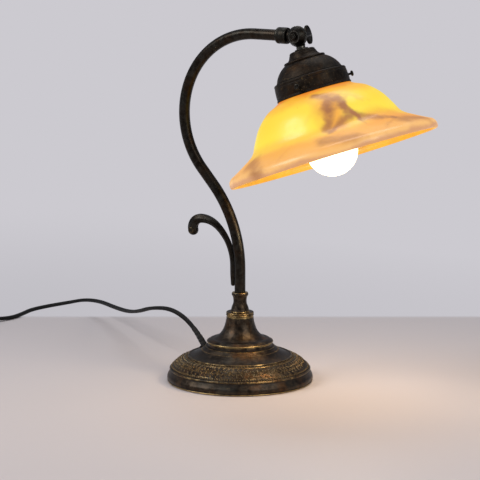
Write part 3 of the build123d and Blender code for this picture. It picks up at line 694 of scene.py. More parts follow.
def felt(name):
    """Green wool felt: matted tufts under a loose fuzz."""
    f = Finish(name)
    fuzz = f.noise(2600, 4, 0.75)
    felted = f.noise(380, 5, 0.7)
    base = f.mix(fuzz, tone(30, 44, 33), tone(70, 88, 70))
    base = f.mix(f.step(felted, 0.4, 0.7) * 0.5, base, tone(44, 60, 46))
    return f.surface(
        base_color=base, roughness=f.clamped(fuzz * 0.2 + 0.78), sheen_weight=0.4,
        normal=f.bump(fuzz + felted * 0.5, 0.0012, 0.8),
    )


def speckled(name, colour, light, dark, satin=0.6, scale=700.0):
    """Pressed fibre or unglazed porcelain: fine specks, a chalky bloom and handling stains."""
    f = Finish(name)
    fine = f.noise(scale, 4, 0.7)
    stain = f.noise(70, 4, 0.6)
    edge = f.clamped(f.attribute("edge"))
    base = f.mix(f.step(fine, 0.35, 0.7), colour, light)
    base = f.mix(f.step(stain, 0.52, 0.75) * 0.6, base, dark)
    base = f.mix(edge * 0.4, base, light)
    return f.surface(
        base_color=base, roughness=f.clamped(fine * 0.25 + stain * 0.15 + (satin - 0.2)),
        normal=f.bump(fine, 0.0003, 0.5),
    )


def on_head(f):
    """The depth below the knuckle along the head's axis, in mm."""
    local = f.vector("SUBTRACT", f.place, tuple(KNUCKLE))
    return f.vector("DOT_PRODUCT", local, tuple(HEAD_AXIS)) / MM


def near_stroke(f, spot, a, b):
    """How far, in mm, a place is from the straight stroke between two points."""
    run = Vector(b) - Vector(a)
    from_a = f.vector("SUBTRACT", spot, tuple(a))
    share = f.clamped(f.vector("DOT_PRODUCT", from_a, tuple(run / run.length_squared)))
    along = f.scaled(tuple(run), share)
    return f.vector("LENGTH", f.vector("SUBTRACT", from_a, along)) / MM


# the glass's outer outline, (radius, depth) in mm from its collar to its lip
GLASS_LINE = (
    (39.6, 64.0), (46.5, 69.5), (60.1, 76.5), (74.1, 90.0), (83.2, 105.0),
    (90.0, 117.0), (103.5, 126.0), (118.0, 134.0), (124.0, 139.0), (124.5, 146.0),
)
# veins in the glass, each a chain of (angle about the head, depth below the knuckle)
VEINS = (
    ((-61, 74), (-43, 85), (-38, 103), (-30, 114), (-8, 125)),
    ((-37, 109), (-56, 120)),
    ((-48, 82), (-57, 117)),
    ((34, 76), (58, 96), (66, 118), (88, 128)),
    ((128, 73), (146, 92), (150, 112), (136, 124)),
    ((-152, 82), (-168, 104), (-150, 122)),
)
BLOTCHES = (
    ((-64, 130), (-45, 136)), ((-120, 126), (-104, 140)), ((-8, 131), (12, 134)),
    ((100, 133), (120, 139)), ((168, 130), (-176, 138)),
)


def on_glass(angle, depth):
    """The point on the glass's outer face at an angle about the head and a depth."""
    pairs = list(zip(GLASS_LINE, GLASS_LINE[1:]))
    (r0, h0), (r1, h1) = next((p for p in pairs if p[0][1] <= depth <= p[1][1]), pairs[0])
    radius = r0 + (r1 - r0) * (depth - h0) / (h1 - h0)
    turn = -radians(angle)
    return HEAD @ (Vector((radius * cos(turn), radius * sin(turn), depth)) * MM)


def vein_mask(f, chains, spot, core, fade):
    """1 along the chains of strokes, falling to 0 at the fade, in mm."""
    nearest = None
    for chain in chains:
        for a, b in zip(chain, chain[1:]):
            away = near_stroke(f, spot, on_glass(*a), on_glass(*b))
            nearest = away if nearest is None else f.math("SMOOTH_MIN", nearest, away, 3.0)
    return f.step(nearest, core, fade, 1.0, 0.0)


def lit_glass(name):
    """Amber opal glass with the lamp on, its emission a painted glow for the bulb's light through the
    glass:
    yellow round the bulb, orange at the gallery, peach on the brim, and a deep orange painted glow on
    the inner face; the brown-grey veins and specks are the glass's own."""
    f = Finish(name)
    depth = on_head(f)
    cloud = f.noise(24, 4, 0.5)
    fine = f.noise(110, 4, 0.6)
    level = (depth + (cloud - 0.5) * 16.0 - 58.0) / 92.0
    # painted glow: the outer face's emission colour by depth stands in for the bulb's light through the
    # glass
    outer = f.ramp(level, (
        (0.0, tone(190, 92, 30)), (0.09, tone(236, 138, 36)), (0.18, tone(252, 190, 44)),
        (0.3, tone(254, 224, 50)), (0.54, tone(255, 232, 60)), (0.65, tone(253, 208, 68)),
        (0.74, tone(247, 178, 76)), (0.82, tone(248, 182, 96)), (0.89, tone(250, 194, 118)),
        (0.95, tone(214, 158, 112)), (1.0, tone(222, 160, 72)),
    ))
    bent = f.wander(26, 0.022)
    spot = f.wander(90, 0.007, at=bent)
    # painted glow: warmer orange patches in the emission
    warm = vein_mask(f, (((-50, 88), (-50, 116)), ((-20, 120), (10, 128))), spot, 2.0, 26.0)
    outer = f.mix(warm * 0.85, outer, tone(243, 162, 64))
    veins = vein_mask(f, VEINS, spot, 0.8, 9.5)
    veins = veins * f.step(cloud + fine * 0.5, 0.4, 0.85, 0.55, 1.0)
    blots = vein_mask(f, BLOTCHES, spot, 0.5, 17.0)
    threads = f.step(f.cells(17, "DISTANCE_TO_EDGE", at=spot), 0.0, 0.07, 1.0, 0.0)
    threads = threads * f.step(f.noise(15, 2, 0.5, at=f.moved(shift=(0.4, 0.2, 0.1))), 0.52, 0.68)
    mask = f.clamped(veins * 0.88 + blots * 0.7 + threads * 0.28)
    outer = f.mix(mask, outer, tone(164, 106, 60))
    dots = f.step(f.cells(150), 0.05, 0.13, 1.0, 0.0) * f.step(f.noise(60, 2), 0.56, 0.62)
    outer = f.mix(dots * 0.6, outer, tone(120, 62, 24))
    # painted glow on the inner face, where the bulb's light falls
    inner_painted_glow = f.mix(f.step(cloud, 0.4, 0.7), tone(236, 176, 36), tone(218, 148, 32))
    inner_painted_glow = f.mix(mask * 0.7, inner_painted_glow, tone(140, 90, 36))
    inner = f.attribute("inner")
    glow = f.mix(inner, outer, inner_painted_glow)
    body = f.mix(inner, tone(104, 70, 40), tone(120, 84, 36))
    body = f.mix(mask * 0.5, body, tone(70, 50, 38))
    return f.surface(
        base_color=body, emission_color=glow, emission_strength=0.9,
        roughness=f.clamped(fine * 0.2 + cloud * 0.2 + 0.2), coat_weight=0.12,
        coat_roughness=0.12, normal=f.bump(fine + cloud, 0.0005, 0.25),
    )


def lit_bulb(name):
    """Opal bulb with the lamp on, dimmer towards its neck, with a faint grain."""
    f = Finish(name)
    depth = on_head(f)
    grain = f.noise(420, 3, 0.6)
    glow = f.ramp((depth - 84.0) / 60.0, (
        (0.0, tone(150, 96, 40)), (0.25, tone(224, 168, 96)), (0.6, tone(255, 214, 150)),
        (1.0, tone(255, 222, 160)),
    ))
    glow = f.mix(grain * 0.12, glow, tone(255, 240, 205))
    return f.surface(
        base_color=tone(240, 236, 226), emission_color=glow, emission_strength=5.0,
        roughness=f.clamped(grain * 0.2 + 0.35), normal=f.bump(grain, 0.0002, 0.2),
    )


def make_finishes(colours):
    """Every finish, under the name of the slot that it is for."""
    deep, body = (*colours.patina_deep, 1.0), (*colours.patina_body, 1.0)
    cool, warm = (*colours.patina_cool, 1.0), (*colours.patina_warm, 1.0)
    rubbed = (*colours.rubbed_brass, 1.0)
    nickel, zinc = tone(205, 203, 196), tone(158, 160, 162)
    FINISH.update({
        "patina_brass": aged_metal(
            "patina_brass_worn", deep, body, cool, warm, shaded(rubbed, 0.95), wear=1.15, fleck=0.3,
            satin=0.36,
        ),
        "relief_brass": aged_metal(
            "patina_brass_relief", deep, shaded(body, 0.85), shaded(cool, 0.7), warm,
            shaded(between(between(rubbed, warm), cool), 0.8),
            wear=0.85, fleck=0.4, satin=0.46, grit=1.6,
        ),
        "gallery_brass": aged_metal(
            "patina_brass_gallery", shaded(deep, 0.7), shaded(body, 0.5), shaded(cool, 0.42),
            shaded(warm, 0.45), shaded(rubbed, 0.4), wear=0.4, fleck=1.0, grit=2.0, satin=0.46,
        ),
        "bronze_tube": aged_metal(
            "bronze_tube_satin", shaded(deep, 0.7), shaded(cool, 0.5), shaded(body, 0.5),
            shaded(warm, 0.3), shaded(rubbed, 0.4), wear=0.5, fleck=0.1, satin=0.34, grit=0.5,
        ),
        "dark_bronze": aged_metal(
            "dark_bronze_blackened", shaded(deep, 0.6), shaded(cool, 0.4), shaded(cool, 0.6),
            shaded(warm, 0.25), shaded(cool, 1.6), wear=0.6, fleck=0.1, satin=0.36, grit=0.8,
        ),
        "brass": plain_metal("brass_plain", tone(206, 172, 98), tone(150, 112, 56), 0.3, 0.5),
        "cast_iron": plain_metal("iron_casting", tone(92, 92, 92), tone(60, 52, 46), 0.6, 0.0, 1.5),
        "steel": plain_metal("steel_zinc_plated", zinc, tone(120, 118, 108), 0.34, 0.4),
        "bulb_cap": plain_metal("cap_aluminium", tone(206, 206, 202), tone(160, 158, 150), 0.28, 0.6),
        "plug_nickel": plain_metal("pin_nickel", nickel, tone(168, 160, 142), 0.22, 0.6),
        "felt": felt("felt_green"),
        "fibre": speckled("fibre_red", tone(120, 46, 34), tone(160, 78, 58), tone(84, 30, 24)),
        "ceramic": speckled("porcelain", tone(228, 222, 210), tone(244, 240, 232), tone(196, 184, 166)),
        "black_plastic": moulded("plastic_black", tone(20, 20, 21), tone(58, 57, 56), 0.42),
        "black_rubber": moulded("rubber_black", tone(15, 15, 15), tone(50, 48, 47), 0.66, 1400.0),
        "cord_black": cord_sheath("sheath_black"),
        "shade_glass": lit_glass("glass_amber_lit"),
        "bulb_glass": lit_bulb("bulb_opal_lit"),
    })


FINISH = {}


# ---- base ----
DOME = ((82.6, 16.8), (75.2, 23.6), (62.6, 30.2))


def on_dome(share, lift=0.0):
    """((radius, height), lean) on the base's embossed dome, from its outer edge, 0, to its top, 1."""
    cx, cy = circle_through(*DOME)
    first = atan2(DOME[0][1] - cy, DOME[0][0] - cx)
    last = atan2(DOME[2][1] - cy, DOME[2][0] - cx)
    turn = first + (last - first) * share
    radius = sqrt((DOME[0][0] - cx) ** 2 + (DOME[0][1] - cy) ** 2) + lift
    return (cx + radius * cos(turn), cy + radius * sin(turn)), pi / 2 - turn


def leaf(length, width, rise, start=0.0, turn=0.0, bend=(28.0, 78.0), sink=0.5):
    """A raised leaf with a ridge along its middle, lying on a surface bent by two radii."""
    def draped(x, y, z):
        x, y = x * cos(turn) - y * sin(turn), x * sin(turn) + y * cos(turn)
        return (x, y, z - x * x / (2 * bend[0]) - y * y / (2 * bend[1]))
    stations = ((0.14, 0.62), (0.42, 1.0), (0.74, 0.72))
    verts = [draped(start, 0, 0.0), draped(start + length, 0, 0.0)]
    for share, size in stations:
        x, half = start + length * share, width * size / 2
        verts += [draped(x, -half, -sink), draped(x, -half, 0.0), draped(x, 0, rise * size),
                  draped(x, half, 0.0), draped(x, half, -sink)]
    faces = []
    for n in range(4):
        faces += [(0, 2 + n, 3 + n), (1, 13 + n, 12 + n)]
        for s in (0, 5):
            faces.append((2 + s + n, 7 + s + n, 8 + s + n, 3 + s + n))
    faces += [(0, 6, 2), (1, 12, 16), (2, 6, 11, 7), (7, 11, 16, 12)]
    return mesh_of(verts, faces, sharp=60.0)


def bead(radius, rise=0.8, sink=0.35):
    """A round grain, flattened and sunk a little, of a few dozen faces."""
    steps = (0.35, 0.75, 1.15, 1.5)
    profile = [(0.0, radius * rise)]
    profile += [(radius * sin(s), radius * rise * cos(s)) for s in steps]
    profile += [(radius * 0.9, -sink), (0.0, -sink)]
    return turned(profile, sides=8, round_over=0.0, sharp=70.0)


def rib(length, width, rise, sink=0.6):
    """A bar with sloping sides, lying along x."""
    a, b = length / 2, width / 2
    low = [(-a, -b, -sink), (a, -b, -sink), (a, b, -sink), (-a, b, -sink)]
    mid = [(-a, -b, rise * 0.3), (a, -b, rise * 0.3), (a, b, rise * 0.3), (-a, b, rise * 0.3)]
    c, d = a - rise * 0.5, b * 0.45
    top = [(-c, -d, rise), (c, -d, rise), (c, d, rise), (-c, d, rise)]
    faces = [(3, 2, 1, 0), (8, 9, 10, 11)]
    for base in (0, 4):
        for n in range(4):
            m = (n + 1) % 4
            faces.append((base + n, base + m, base + 4 + m, base + 4 + n))
    return mesh_of(low + mid + top, faces, sharp=60.0)


def ring(shape, finish, count, radius, height, lean, place=UPRIGHT, start=0.0):
    """Copies of a shape in a ring, with its sizes in mm."""
    return repeated(
        TREES["ring"], shape, finish, place, Count=count, Radius=radius * MM,
        Height=height * MM, Lean=lean, Start=start,
    )


TREES = {}


def dome_ring(shape, count, share, lift=0.0, start=0.0):
    """A ring of shapes on the embossed dome."""
    (radius, height), lean = on_dome(share, lift)
    return ring(shape, FINISH["relief_brass"], count, radius, height, lean, start=start)


def build_base(sizes):
    """The turned base shell, and its flowers, leaves and rows of grains."""
    rows = [on_dome(s, lift)[0] for s, lift in (
        (0.03, -0.35), (0.1, -0.35), (0.125, 0.1), (0.15, 0.12), (0.17, -0.05), (0.3, 0),
        (0.4, 0), (0.5, 0), (0.6, 0), (0.7, 0), (0.83, -0.05), (0.85, 0.35), (0.88, 0.35),
        (0.9, -0.3), (0.98, -0.3),
    )]
    profile = outline(
        (83.0, 0.4), (86.2, 0.4), ((86.9, 1.0), (86.7, 1.8)), (86.3, 2.1), ((87.1, 4.6), (85.9, 8.8)),
        ((84.5, 11.6), (83.5, 14.0)), (84.1, 14.6), ((84.2, 15.6), (82.9, 16.5)),
        *rows, (62.6, 30.0), ((62.0, 31.6), (60.6, 31.4)), (59.9, 31.2), ((50.6, 34.8), (42.0, 41.6)),
        (41.2, 42.3), (40.6, 42.0), (38.2, 42.4), (38.2, 47.0), (30.0, 47.0), (30.0, 45.0),
        (36.0, 45.0), (36.0, 40.6), (40.6, 39.8), ((49.6, 32.8), (60.4, 29.2)),
        ((73.6, 22.2), (80.6, 16.4)), (81.0, 11.0), (83.0, 8.5),
    )
    shell = turned(profile, sides=192)
    piece("base_shell_turned", shell, "stand", FINISH["patina_brass"], ["base_shell"], "patina_brass")
    rise = sizes.flower_rise / MM
    petals = [leaf(4.0, 2.5, rise, 0.8, tau * k / 6) for k in range(6)]
    flower = joined(*petals, bead(1.25))
    half = pi / sizes.flower_count
    flowers = dome_ring(flower, sizes.flower_count, 0.5, 0.1)
    turns = (0.5, -0.5, pi + 0.5, pi - 0.5)
    sprays = joined(*[leaf(5.2, 1.9, rise * 0.9, 0.6, turn) for turn in turns])
    sprays = dome_ring(sprays, sizes.flower_count, 0.5, 0.05, half)
    piece(
        "dome_flowers", joined(flowers, sprays), "stand", FINISH["relief_brass"], slot="patina_brass"
    )
    slanted = leaf(4.6, 2.1, rise * 0.8, -2.3, 0.85)
    other = leaf(4.6, 2.1, rise * 0.8, -2.3, -0.85)
    leaves = [
        dome_ring(slanted, sizes.leaf_count, 0.24), dome_ring(other, sizes.leaf_count, 0.76),
    ]
    piece("dome_leaves", joined(*leaves), "stand", FINISH["relief_brass"], slot="patina_brass")
    grains = [
        dome_ring(bead(sizes.bead_radius / MM), sizes.bead_count, 0.065, -0.1),
        dome_ring(bead(sizes.bead_radius / MM * 0.8), sizes.bead_count - 40, 0.94, -0.05),
        dome_ring(bead(0.75), sizes.flower_count * 2, 0.375, 0.0, half / 2),
        dome_ring(bead(0.75), sizes.flower_count * 2, 0.625, 0.0, half / 2),
        ring(bead(0.62, 0.8), FINISH["relief_brass"], sizes.bead_count - 44, 45.6, 38.1, 0.76),
    ]
    piece("dome_beads", joined(*grains), "stand", FINISH["relief_brass"], slot="patina_brass")


# ---- column and arm ----
def build_column():
    """The bell-shaped cup, the two beads and the vase that carry the arm."""
    bell = outline(
        (36.6, 47.0), (39.2, 47.0), ((39.8, 47.8), (39.2, 48.6)), (38.3, 48.8),
        ((36.2, 50.5), (31.0, 51.6)), (30.0, 51.9), ((22.8, 58.0), (18.2, 67.6)),
        ((16.7, 73.2), (16.0, 79.0)), (5.15, 79.0), (5.15, 76.0), (14.2, 76.0),
        ((19.0, 60.0), (28.0, 50.4)), (28.0, 47.0),
    )
    beads = outline(
        (5.15, 79.0), (15.6, 79.0), ((16.6, 80.15), (15.6, 81.3)), ((16.5, 82.45), (15.4, 83.6)),
        (5.15, 83.6),
    )
    vase = outline(
        (5.15, 83.6), (11.4, 83.6), (11.5, 84.4), (10.9, 84.9), ((10.0, 88.9), (8.3, 93.2)),
        ((7.9, 97.8), (8.8, 102.6)), (9.5, 103.2), ((9.9, 105.0), (9.2, 107.0)), (6.55, 107.0),
        (6.55, 90.0), (5.15, 90.0),
    )
    for name, profile, node in (
        ("column_bell_turned", bell, "column_bell"),
        ("column_beads", beads, "bead_ring"),
        ("column_vase", vase, "vase_collar"),
    ):
        piece(name, turned(profile), "stand", FINISH["patina_brass"], [node], "patina_brass")


def in_plane(path):
    """Points of the lamp's own plane, and the direction across it at each."""
    return [(x, 0, z) for x, z in path], [(0, 1, 0)] * len(path)


def build_arm():
    """The bent tube, its end collar and the ridged scroll beside it."""
    level = KNUCKLE.z / MM
    path = bent_path((0, 90.0), 90, 44.5, (151.0, 41.5), 23.3, (98.5, -131.5), step=2.2)
    path += [(path[-1][0] + (54.7 - path[-1][0]) * k / 6, level) for k in range(1, 7)]
    radius = 6.5

    def round_tube(_, turn):
        return radius * cos(turn), radius * sin(turn)

    tube = swept(*in_plane(path), round_tube, 40)
    piece("arm_bent_tube", tube, "stand", FINISH["bronze_tube"], ["arm_tube"], "bronze_tube")
    collar = outline(
        (6.55, -26.3), (8.0, -26.3), ((9.2, -25.6), (9.6, -24.4)), (9.6, -22.8), (9.1, -22.3),
        (9.1, -21.5), (9.6, -21.0), (9.6, -14.2), (9.25, -13.9), (9.6, -13.4), (9.3, -12.5),
        (8.9, -12.3), (5.0, -12.3), (5.0, -23.3), (6.55, -23.3),
    )
    piece(
        "arm_end_collar", turned(collar, REACH, 64, 0.2), "stand", FINISH["dark_bronze"],
        ["arm_ferrule"], "bronze_tube",
    )
    path = bent_path((-9.8, 116.0), 90, 22.0, (59.5, 50), (32.9, 46), (12.0, 98), step=3.0)
    stations = (0.0, 0.1, 0.3, 0.45, 0.6, 0.72, 0.86, 1.0)
    girths = (2.6, 3.2, 3.3, 3.4, 3.9, 4.7, 5.7, 6.0)

    def ridged(share, turn):
        girth = float(np.interp(share, stations, girths))
        ridges = 1 + 0.07 * cos(6 * turn) * min(1.0, share * 8)
        flat = 1 - 0.1 * share
        return girth * ridges * flat * cos(turn), girth * ridges * sin(turn)

    rod = swept(*in_plane(path), ridged, 48)
    (ax, az), (bx, bz) = path[0], path[-1]
    round_end = outline((0, 6.3), ((4.455, 4.455), (6.3, 0)), ((4.455, -4.455), (0, -6.3)))
    nose = outline((0, 2.6), ((1.84, 1.84), (2.6, 0)), ((1.84, -1.84), (0, -2.6)))
    across = seat((bx * MM, 0, bz * MM), (1, 0, 0), (0, 1, 0))
    below = seat((ax * MM, 0, az * MM), (1, 0, 0), (0, 0, 1))
    eye = outline((2.2, 5.2), (3.6, 5.0), (3.8, 5.7), (3.0, 6.2), (2.2, 6.0))
    parts = [rod, turned(round_end, across, 40, 0), turned(nose, below, 32, 0)]
    for side in (1, -1):
        parts.append(turned([(r, side * h) for r, h in eye], across, 32, 0.15))
    piece("arm_scroll", joined(*parts), "stand", FINISH["bronze_tube"], ["scroll"], "bronze_tube")


# ---- knuckle and head ----
def build_knuckle(sizes):
    """Both halves of the knuckle with their teeth, the bolt and the wing nut."""
    dark = FINISH["dark_bronze"]
    for name, node, body in (
        ("knuckle_arm_half", "knuckle_fixed", "stand"),
        ("knuckle_head_half", "knuckle_swivel", "head"),
        ("knuckle_bolt_head", "knuckle_bolt", "stand"),
        ("wing_nut_smooth", "wing_nut", "wing_nut"),
    ):
        piece(name, merged_copy(node, 0.3), body, dark, [node], "dark_bronze")
    tooth = rib(1.8, 1.0, 0.55)
    rims = outline((7.9, -7.0), (8.7, -6.2), (8.4, -5.6), (7.5, -6.4))
    for name, body, side in (("knuckle_arm_teeth", "stand", -1), ("knuckle_head_teeth", "head", 1)):
        teeth = ring(tooth, dark, sizes.tooth_count, 11.55, side * 1.35, pi / 2, BOLT)
        rim = turned([(r, -side * h) for r, h in rims], BOLT, 64, 0.15)
        cap = [(7.0, side * 8.0), (7.0, side * 8.5), (6.0, side * 8.5), (6.0, side * 8.0)]
        piece(name, joined(teeth, rim, turned(cap, BOLT, 48, 0.2)), body, dark, slot="dark_bronze")


def build_head():
    """The neck, the stepped cap, the gallery with its sprigs, and the thumbscrews."""
    collar = outline((4.9, 15.0), (8.0, 15.0), (8.0, 16.6), (4.9, 16.6))
    cap = outline(
        (4.9, 16.6), (12.6, 16.6), ((14.6, 17.6), (15.4, 19.8)), (16.0, 20.2),
        ((17.6, 23.8), (21.4, 26.6)), (22.2, 26.5), ((24.2, 27.2), (24.4, 28.8)), (22.6, 28.8),
        ((16.6, 25.0), (14.0, 20.0)), (12.4, 18.0), (4.9, 18.0),
    )
    gallery = outline(
        (4.9, 28.8), (23.6, 28.8), ((33.2, 36.4), (38.6, 45.6)), (39.2, 46.4),
        ((39.0, 47.2), (40.0, 47.5)), ((42.0, 47.9), (42.9, 49.4)), (43.0, 50.6), (42.75, 51.0),
        (42.8, 51.6), (43.1, 52.0),
        (43.8, 63.6), (43.5, 64.0), (43.55, 64.6), (43.9, 65.0), (44.0, 66.0),
        ((44.5, 66.9), (43.6, 67.5)), (42.6, 67.5), (41.6, 50.2), (38.6, 49.2),
        ((32.8, 37.8), (23.0, 30.0)), (4.9, 30.0),
    )
    finish = FINISH["gallery_brass"]
    for name, profile, node, coat, slot in (
        ("neck_collar", collar, "neck_ring", FINISH["dark_bronze"], "dark_bronze"),
        ("shade_cap_turned", cap, "shade_cap", finish, "patina_brass"),
        ("gallery_turned", gallery, "gallery", finish, "patina_brass"),
    ):
        piece(name, turned(profile, HEAD, 128), "head", coat, [node], slot)
    level = pi / 2 + 0.065
    drape = (900.0, 43.0)
    sprig = joined(
        leaf(3.4, 2.2, 0.35, 0.4, 0.6, drape), leaf(3.4, 2.2, 0.35, 0.4, -0.6, drape),
        leaf(3.6, 1.6, 0.35, 0.4, pi, drape), bead(0.7, 0.6),
    )
    grain = bead(0.62, 0.7)
    count = 30
    first = HEAD.to_3x3().inverted() @ Vector(joint("thumbscrew_1_back_off")["axis"])
    screw_turn = atan2(first.y, first.x)
    rows = [
        ring(sprig, finish, count, 43.25, 57.8, level, HEAD, screw_turn + pi / count),
        ring(grain, finish, count, 43.0, 54.2, level, HEAD, screw_turn),
        ring(grain, finish, count, 43.5, 61.6, level, HEAD, screw_turn),
    ]
    piece("gallery_sprigs", joined(*rows), "head", finish, slot="patina_brass")
    knob = outline(
        (0, 39.85), (1.4, 39.85), (1.4, 47.2), (2.6, 47.3), (3.0, 47.7), (3.0, 49.1),
        ((2.6, 49.7), (1.6, 49.8)), (1.3, 49.5), (0, 49.5),
    )
    for number in (1, 2, 3):
        out = Vector(joint(f"thumbscrew_{number}_back_off")["axis"]).normalized()
        place = seat(KNUCKLE + HEAD_AXIS * SCREW_DEPTH * MM, HEAD_AXIS, out)
        ridges = ring(rib(1.7, 0.55, 0.35), FINISH["dark_bronze"], 16, 2.95, 48.4, pi / 2, place)
        screw = joined(turned(knob, place, 40, 0.15), ridges)
        piece(
            f"thumbscrew_{number}_knurled", screw, f"thumbscrew_{number}", FINISH["dark_bronze"],
            [f"thumbscrew_{number}"], "dark_bronze",
        )


def build_glass():
    """The blown glass, marked where it faces the bulb."""
    back = [
        (101.6, 129.2), (87.0, 119.4), (79.8, 106.8), (71.0, 92.6), (57.8, 80.2), (44.0, 73.0),
        (35.8, 64.0),
    ]
    profile = outline(
        (35.8, 51.5), (39.6, 51.5), (39.6, 62.5),
        [(40.2, 65.0), (46.5, 69.8), *GLASS_LINE[2:8]],
        ((123.6, 138.6), (124.5, 146.0)), ((122.7, 147.4), (120.9, 146.2)),
        ((119.8, 140.8), (116.0, 137.2)), back,
    )
    mesh = turned(profile, HEAD, 160, 0.6, sharp=60.0)
    normals = np.zeros(len(mesh.vertices) * 3)
    mesh.vertex_normals.foreach_get("vector", normals)
    into = HEAD.inverted()
    inner = []
    for vert, normal in zip(mesh.vertices, normals.reshape(-1, 3)):
        spot = into @ vert.co
        facing = into.to_3x3() @ Vector(normal)
        inner.append(1.0 if facing.x * spot.x + facing.y * spot.y < 0 else 0.0)
    mesh.attributes.new("inner", "FLOAT", "POINT").data.foreach_set("value", inner)
    piece("shade_glass_blown", mesh, "head", FINISH["shade_glass"], ["glass_shade"], "shade_glass")


def build_lamp():
    """The opal globe, the thread of its cap and the rings of the holder."""
    profile = outline(
        (0, 167.0), ((21.2, 158.2), (30.0, 137.0)),
        [(28.7, 128.2), (23.3, 118.1), (18.2, 107.6), (15.1, 98.0), (13.5, 89.0)], (12.1, 83.5),
        (12.1, 76.0), (0, 76.0),
    )
    globe = turned(profile, HEAD, 72, 0.2)
    piece("bulb_globe", globe, "bulb", FINISH["bulb_glass"], ["bulb_glass"], "bulb_glass")
    thread = []
    for k in range(5):
        top = 66.6 + 3.2 * k
        thread.append(turned(
            outline((12.6, top), ((13.55, top + 0.8), (12.6, top + 1.6))), HEAD, 56, 0.0
        ))
    piece("bulb_cap_thread", joined(*thread), "bulb", FINISH["bulb_cap"], slot="bulb_cap")
    rings = []
    for top in (49.5, 52.5, 80.5):
        rings.append(turned(
            outline((19.3, top), ((20.2, top + 0.9), (19.3, top + 1.8))), HEAD, 72, 0.0
        ))
    piece("holder_skirt_rings", joined(*rings), "head", FINISH["brass"], slot="brass")


# ---- cord ----
EXIT = (-51.13, 0.0, 37.22)
ARCH = (
    (-66.5, 0.5, 59.0), (-99.0, 5.0, 75.0), (-144.0, 25.0, 68.0), (-190.0, 64.0, 51.0),
    (-240.0, 113.0, 36.5), (-294.0, 160.0, 28.0), (-345.0, 200.0, 23.5), (-388.0, 224.0, 17.0),
    (-416.0, 227.0, 9.5), (-440.0, 212.0, 4.6), (-450.0, 187.0, 2.8), (-444.0, 160.0, 2.7),
    (-441.0, 135.0, 2.7), (-446.0, 115.0, 3.6), (-457.0, 96.0, 6.0),
)
LEAD_IN = ((-490.5, 46.3, 6.0), (-503.5, 27.0, 4.4), (-512.5, 6.0, 2.8), (-516.0, -14.0, 3.4))
LEAD_OUT = ((-468.0, -55.0, 9.0), (-448.0, -56.0, 7.6), (-427.0, -60.0, 5.6), (-407.0, -66.0, 7.0))
COIL_CENTRE = (-480.5, -22.0)
SWITCH = (-473.8, 71.1)
TURNS = 5
TURN_POINTS = 16
# where the wound cord moves to another turn's seat: (turn, radius, height) in mm
SEATS = (
    (0.0, 36.6, 3.5), (0.85, 36.8, 3.6), (1.0, 31.8, 3.6), (1.85, 31.8, 3.6), (2.0, 26.8, 3.6),
    (2.7, 26.8, 3.6), (2.85, 26.8, 9.1), (3.55, 26.8, 9.1), (3.7, 31.8, 9.1), (4.4, 31.8, 9.1),
    (4.55, 36.8, 9.1), (6.0, 36.4, 9.1),
)


def coil_points():
    """The coil's turns, from where the lead comes in to where it goes out."""
    cx, cy = COIL_CENTRE
    start = atan2(LEAD_IN[-1][1] - cy, LEAD_IN[-1][0] - cx)
    end = atan2(LEAD_OUT[0][1] - cy, LEAD_OUT[0][0] - cx)
    total = (end - start) % tau + tau * TURNS
    step = tau / TURN_POINTS
    turns, radii, heights = zip(*SEATS)
    points = []
    for k in range(1, ceil(total / step - 0.4)):
        share = k * step / tau
        radius = float(np.interp(share, turns, radii)) / cos(step / 2) ** 2
        height = float(np.interp(share, turns, heights))
        angle = start + k * step
        points.append((cx + radius * cos(angle), cy + radius * sin(angle), height))
    return points


def cord_line():
    """Points along the cord's own smooth line, in mm."""
    route = [EXIT, *ARCH, *LEAD_IN, *coil_points(), *LEAD_OUT]
    curve = bpy.data.curves.new("route", "CURVE")
    curve.dimensions = "3D"
    curve.resolution_u = 6
    spline = curve.splines.new("NURBS")
    spline.points.add(len(route) - 1)
    for point, spot in zip(spline.points, route):
        point.co = (*(Vector(spot) * MM), 1.0)
    spline.order_u = 3
    spline.use_endpoint_u = True
    carrier = bpy.data.objects.new("route", curve)
    bpy.context.scene.collection.objects.link(carrier)
    graph = bpy.context.evaluated_depsgraph_get()
    graph.update()
    mesh = bpy.data.meshes.new_from_object(carrier.evaluated_get(graph), depsgraph=graph)
    points = [vert.co / MM for vert in mesh.vertices]
    bpy.data.objects.remove(carrier)
    least_gap = 1.2
    kept = [points[0]]
    for point in points[1:]:
        if (point - kept[-1]).length > least_gap:
            kept.append(point)
    return kept


def thin_ways(points):
    """The flat cord's thin direction: up where it lies, outward where it is wound."""
    loose_from, wound_within = 75.0, 45.0
    ways = []
    for point in points:
        out = Vector((point.x, point.y, 0)) - Vector((*COIL_CENTRE, 0))
        wound = min(1.0, max(0.0, (loose_from - out.length) / (loose_from - wound_within)))
        ways.append(Vector((0, 0, 1)) * (1 - wound) + out.normalized() * wound)
    return ways


def lengths_along(points):
    """How far along the line each point is."""
    made = [0.0]
    for a, b in zip(points, points[1:]):
        made.append(made[-1] + (b - a).length)
    return made


def sleeve(points, start, length, wide, narrow, rings):
    """A ribbed strain relief on a stretch of the cord, thick at its start and thin at its end."""
    marks = lengths_along(points)
    steps, groove_depth, groove_from, flatness = 60, 0.28, 0.62, 0.88
    wanted = [start + length * k / steps for k in range(steps + 1)]
    columns = [np.interp(wanted, marks, [point[i] for point in points]) for i in range(3)]
    spots = [Vector(spot) for spot in zip(*(map(float, column) for column in columns))]

    def section(share, turn):
        if share <= 0.0 or share >= 1.0:
            return 0.0, 0.0
        radius = wide + (narrow - wide) * share
        if (share * rings) % 1.0 > groove_from and 0.1 < share < 0.92:
            radius -= groove_depth
        return radius * flatness * cos(turn), radius * sin(turn)

    before = spots[0] + (spots[0] - spots[1]) * 0.02
    after = spots[-1] + (spots[-1] - spots[-2]) * 0.02
    line = [before, *spots, after]
    return swept(line, thin_ways(line), section, 28, sharp=35.0)


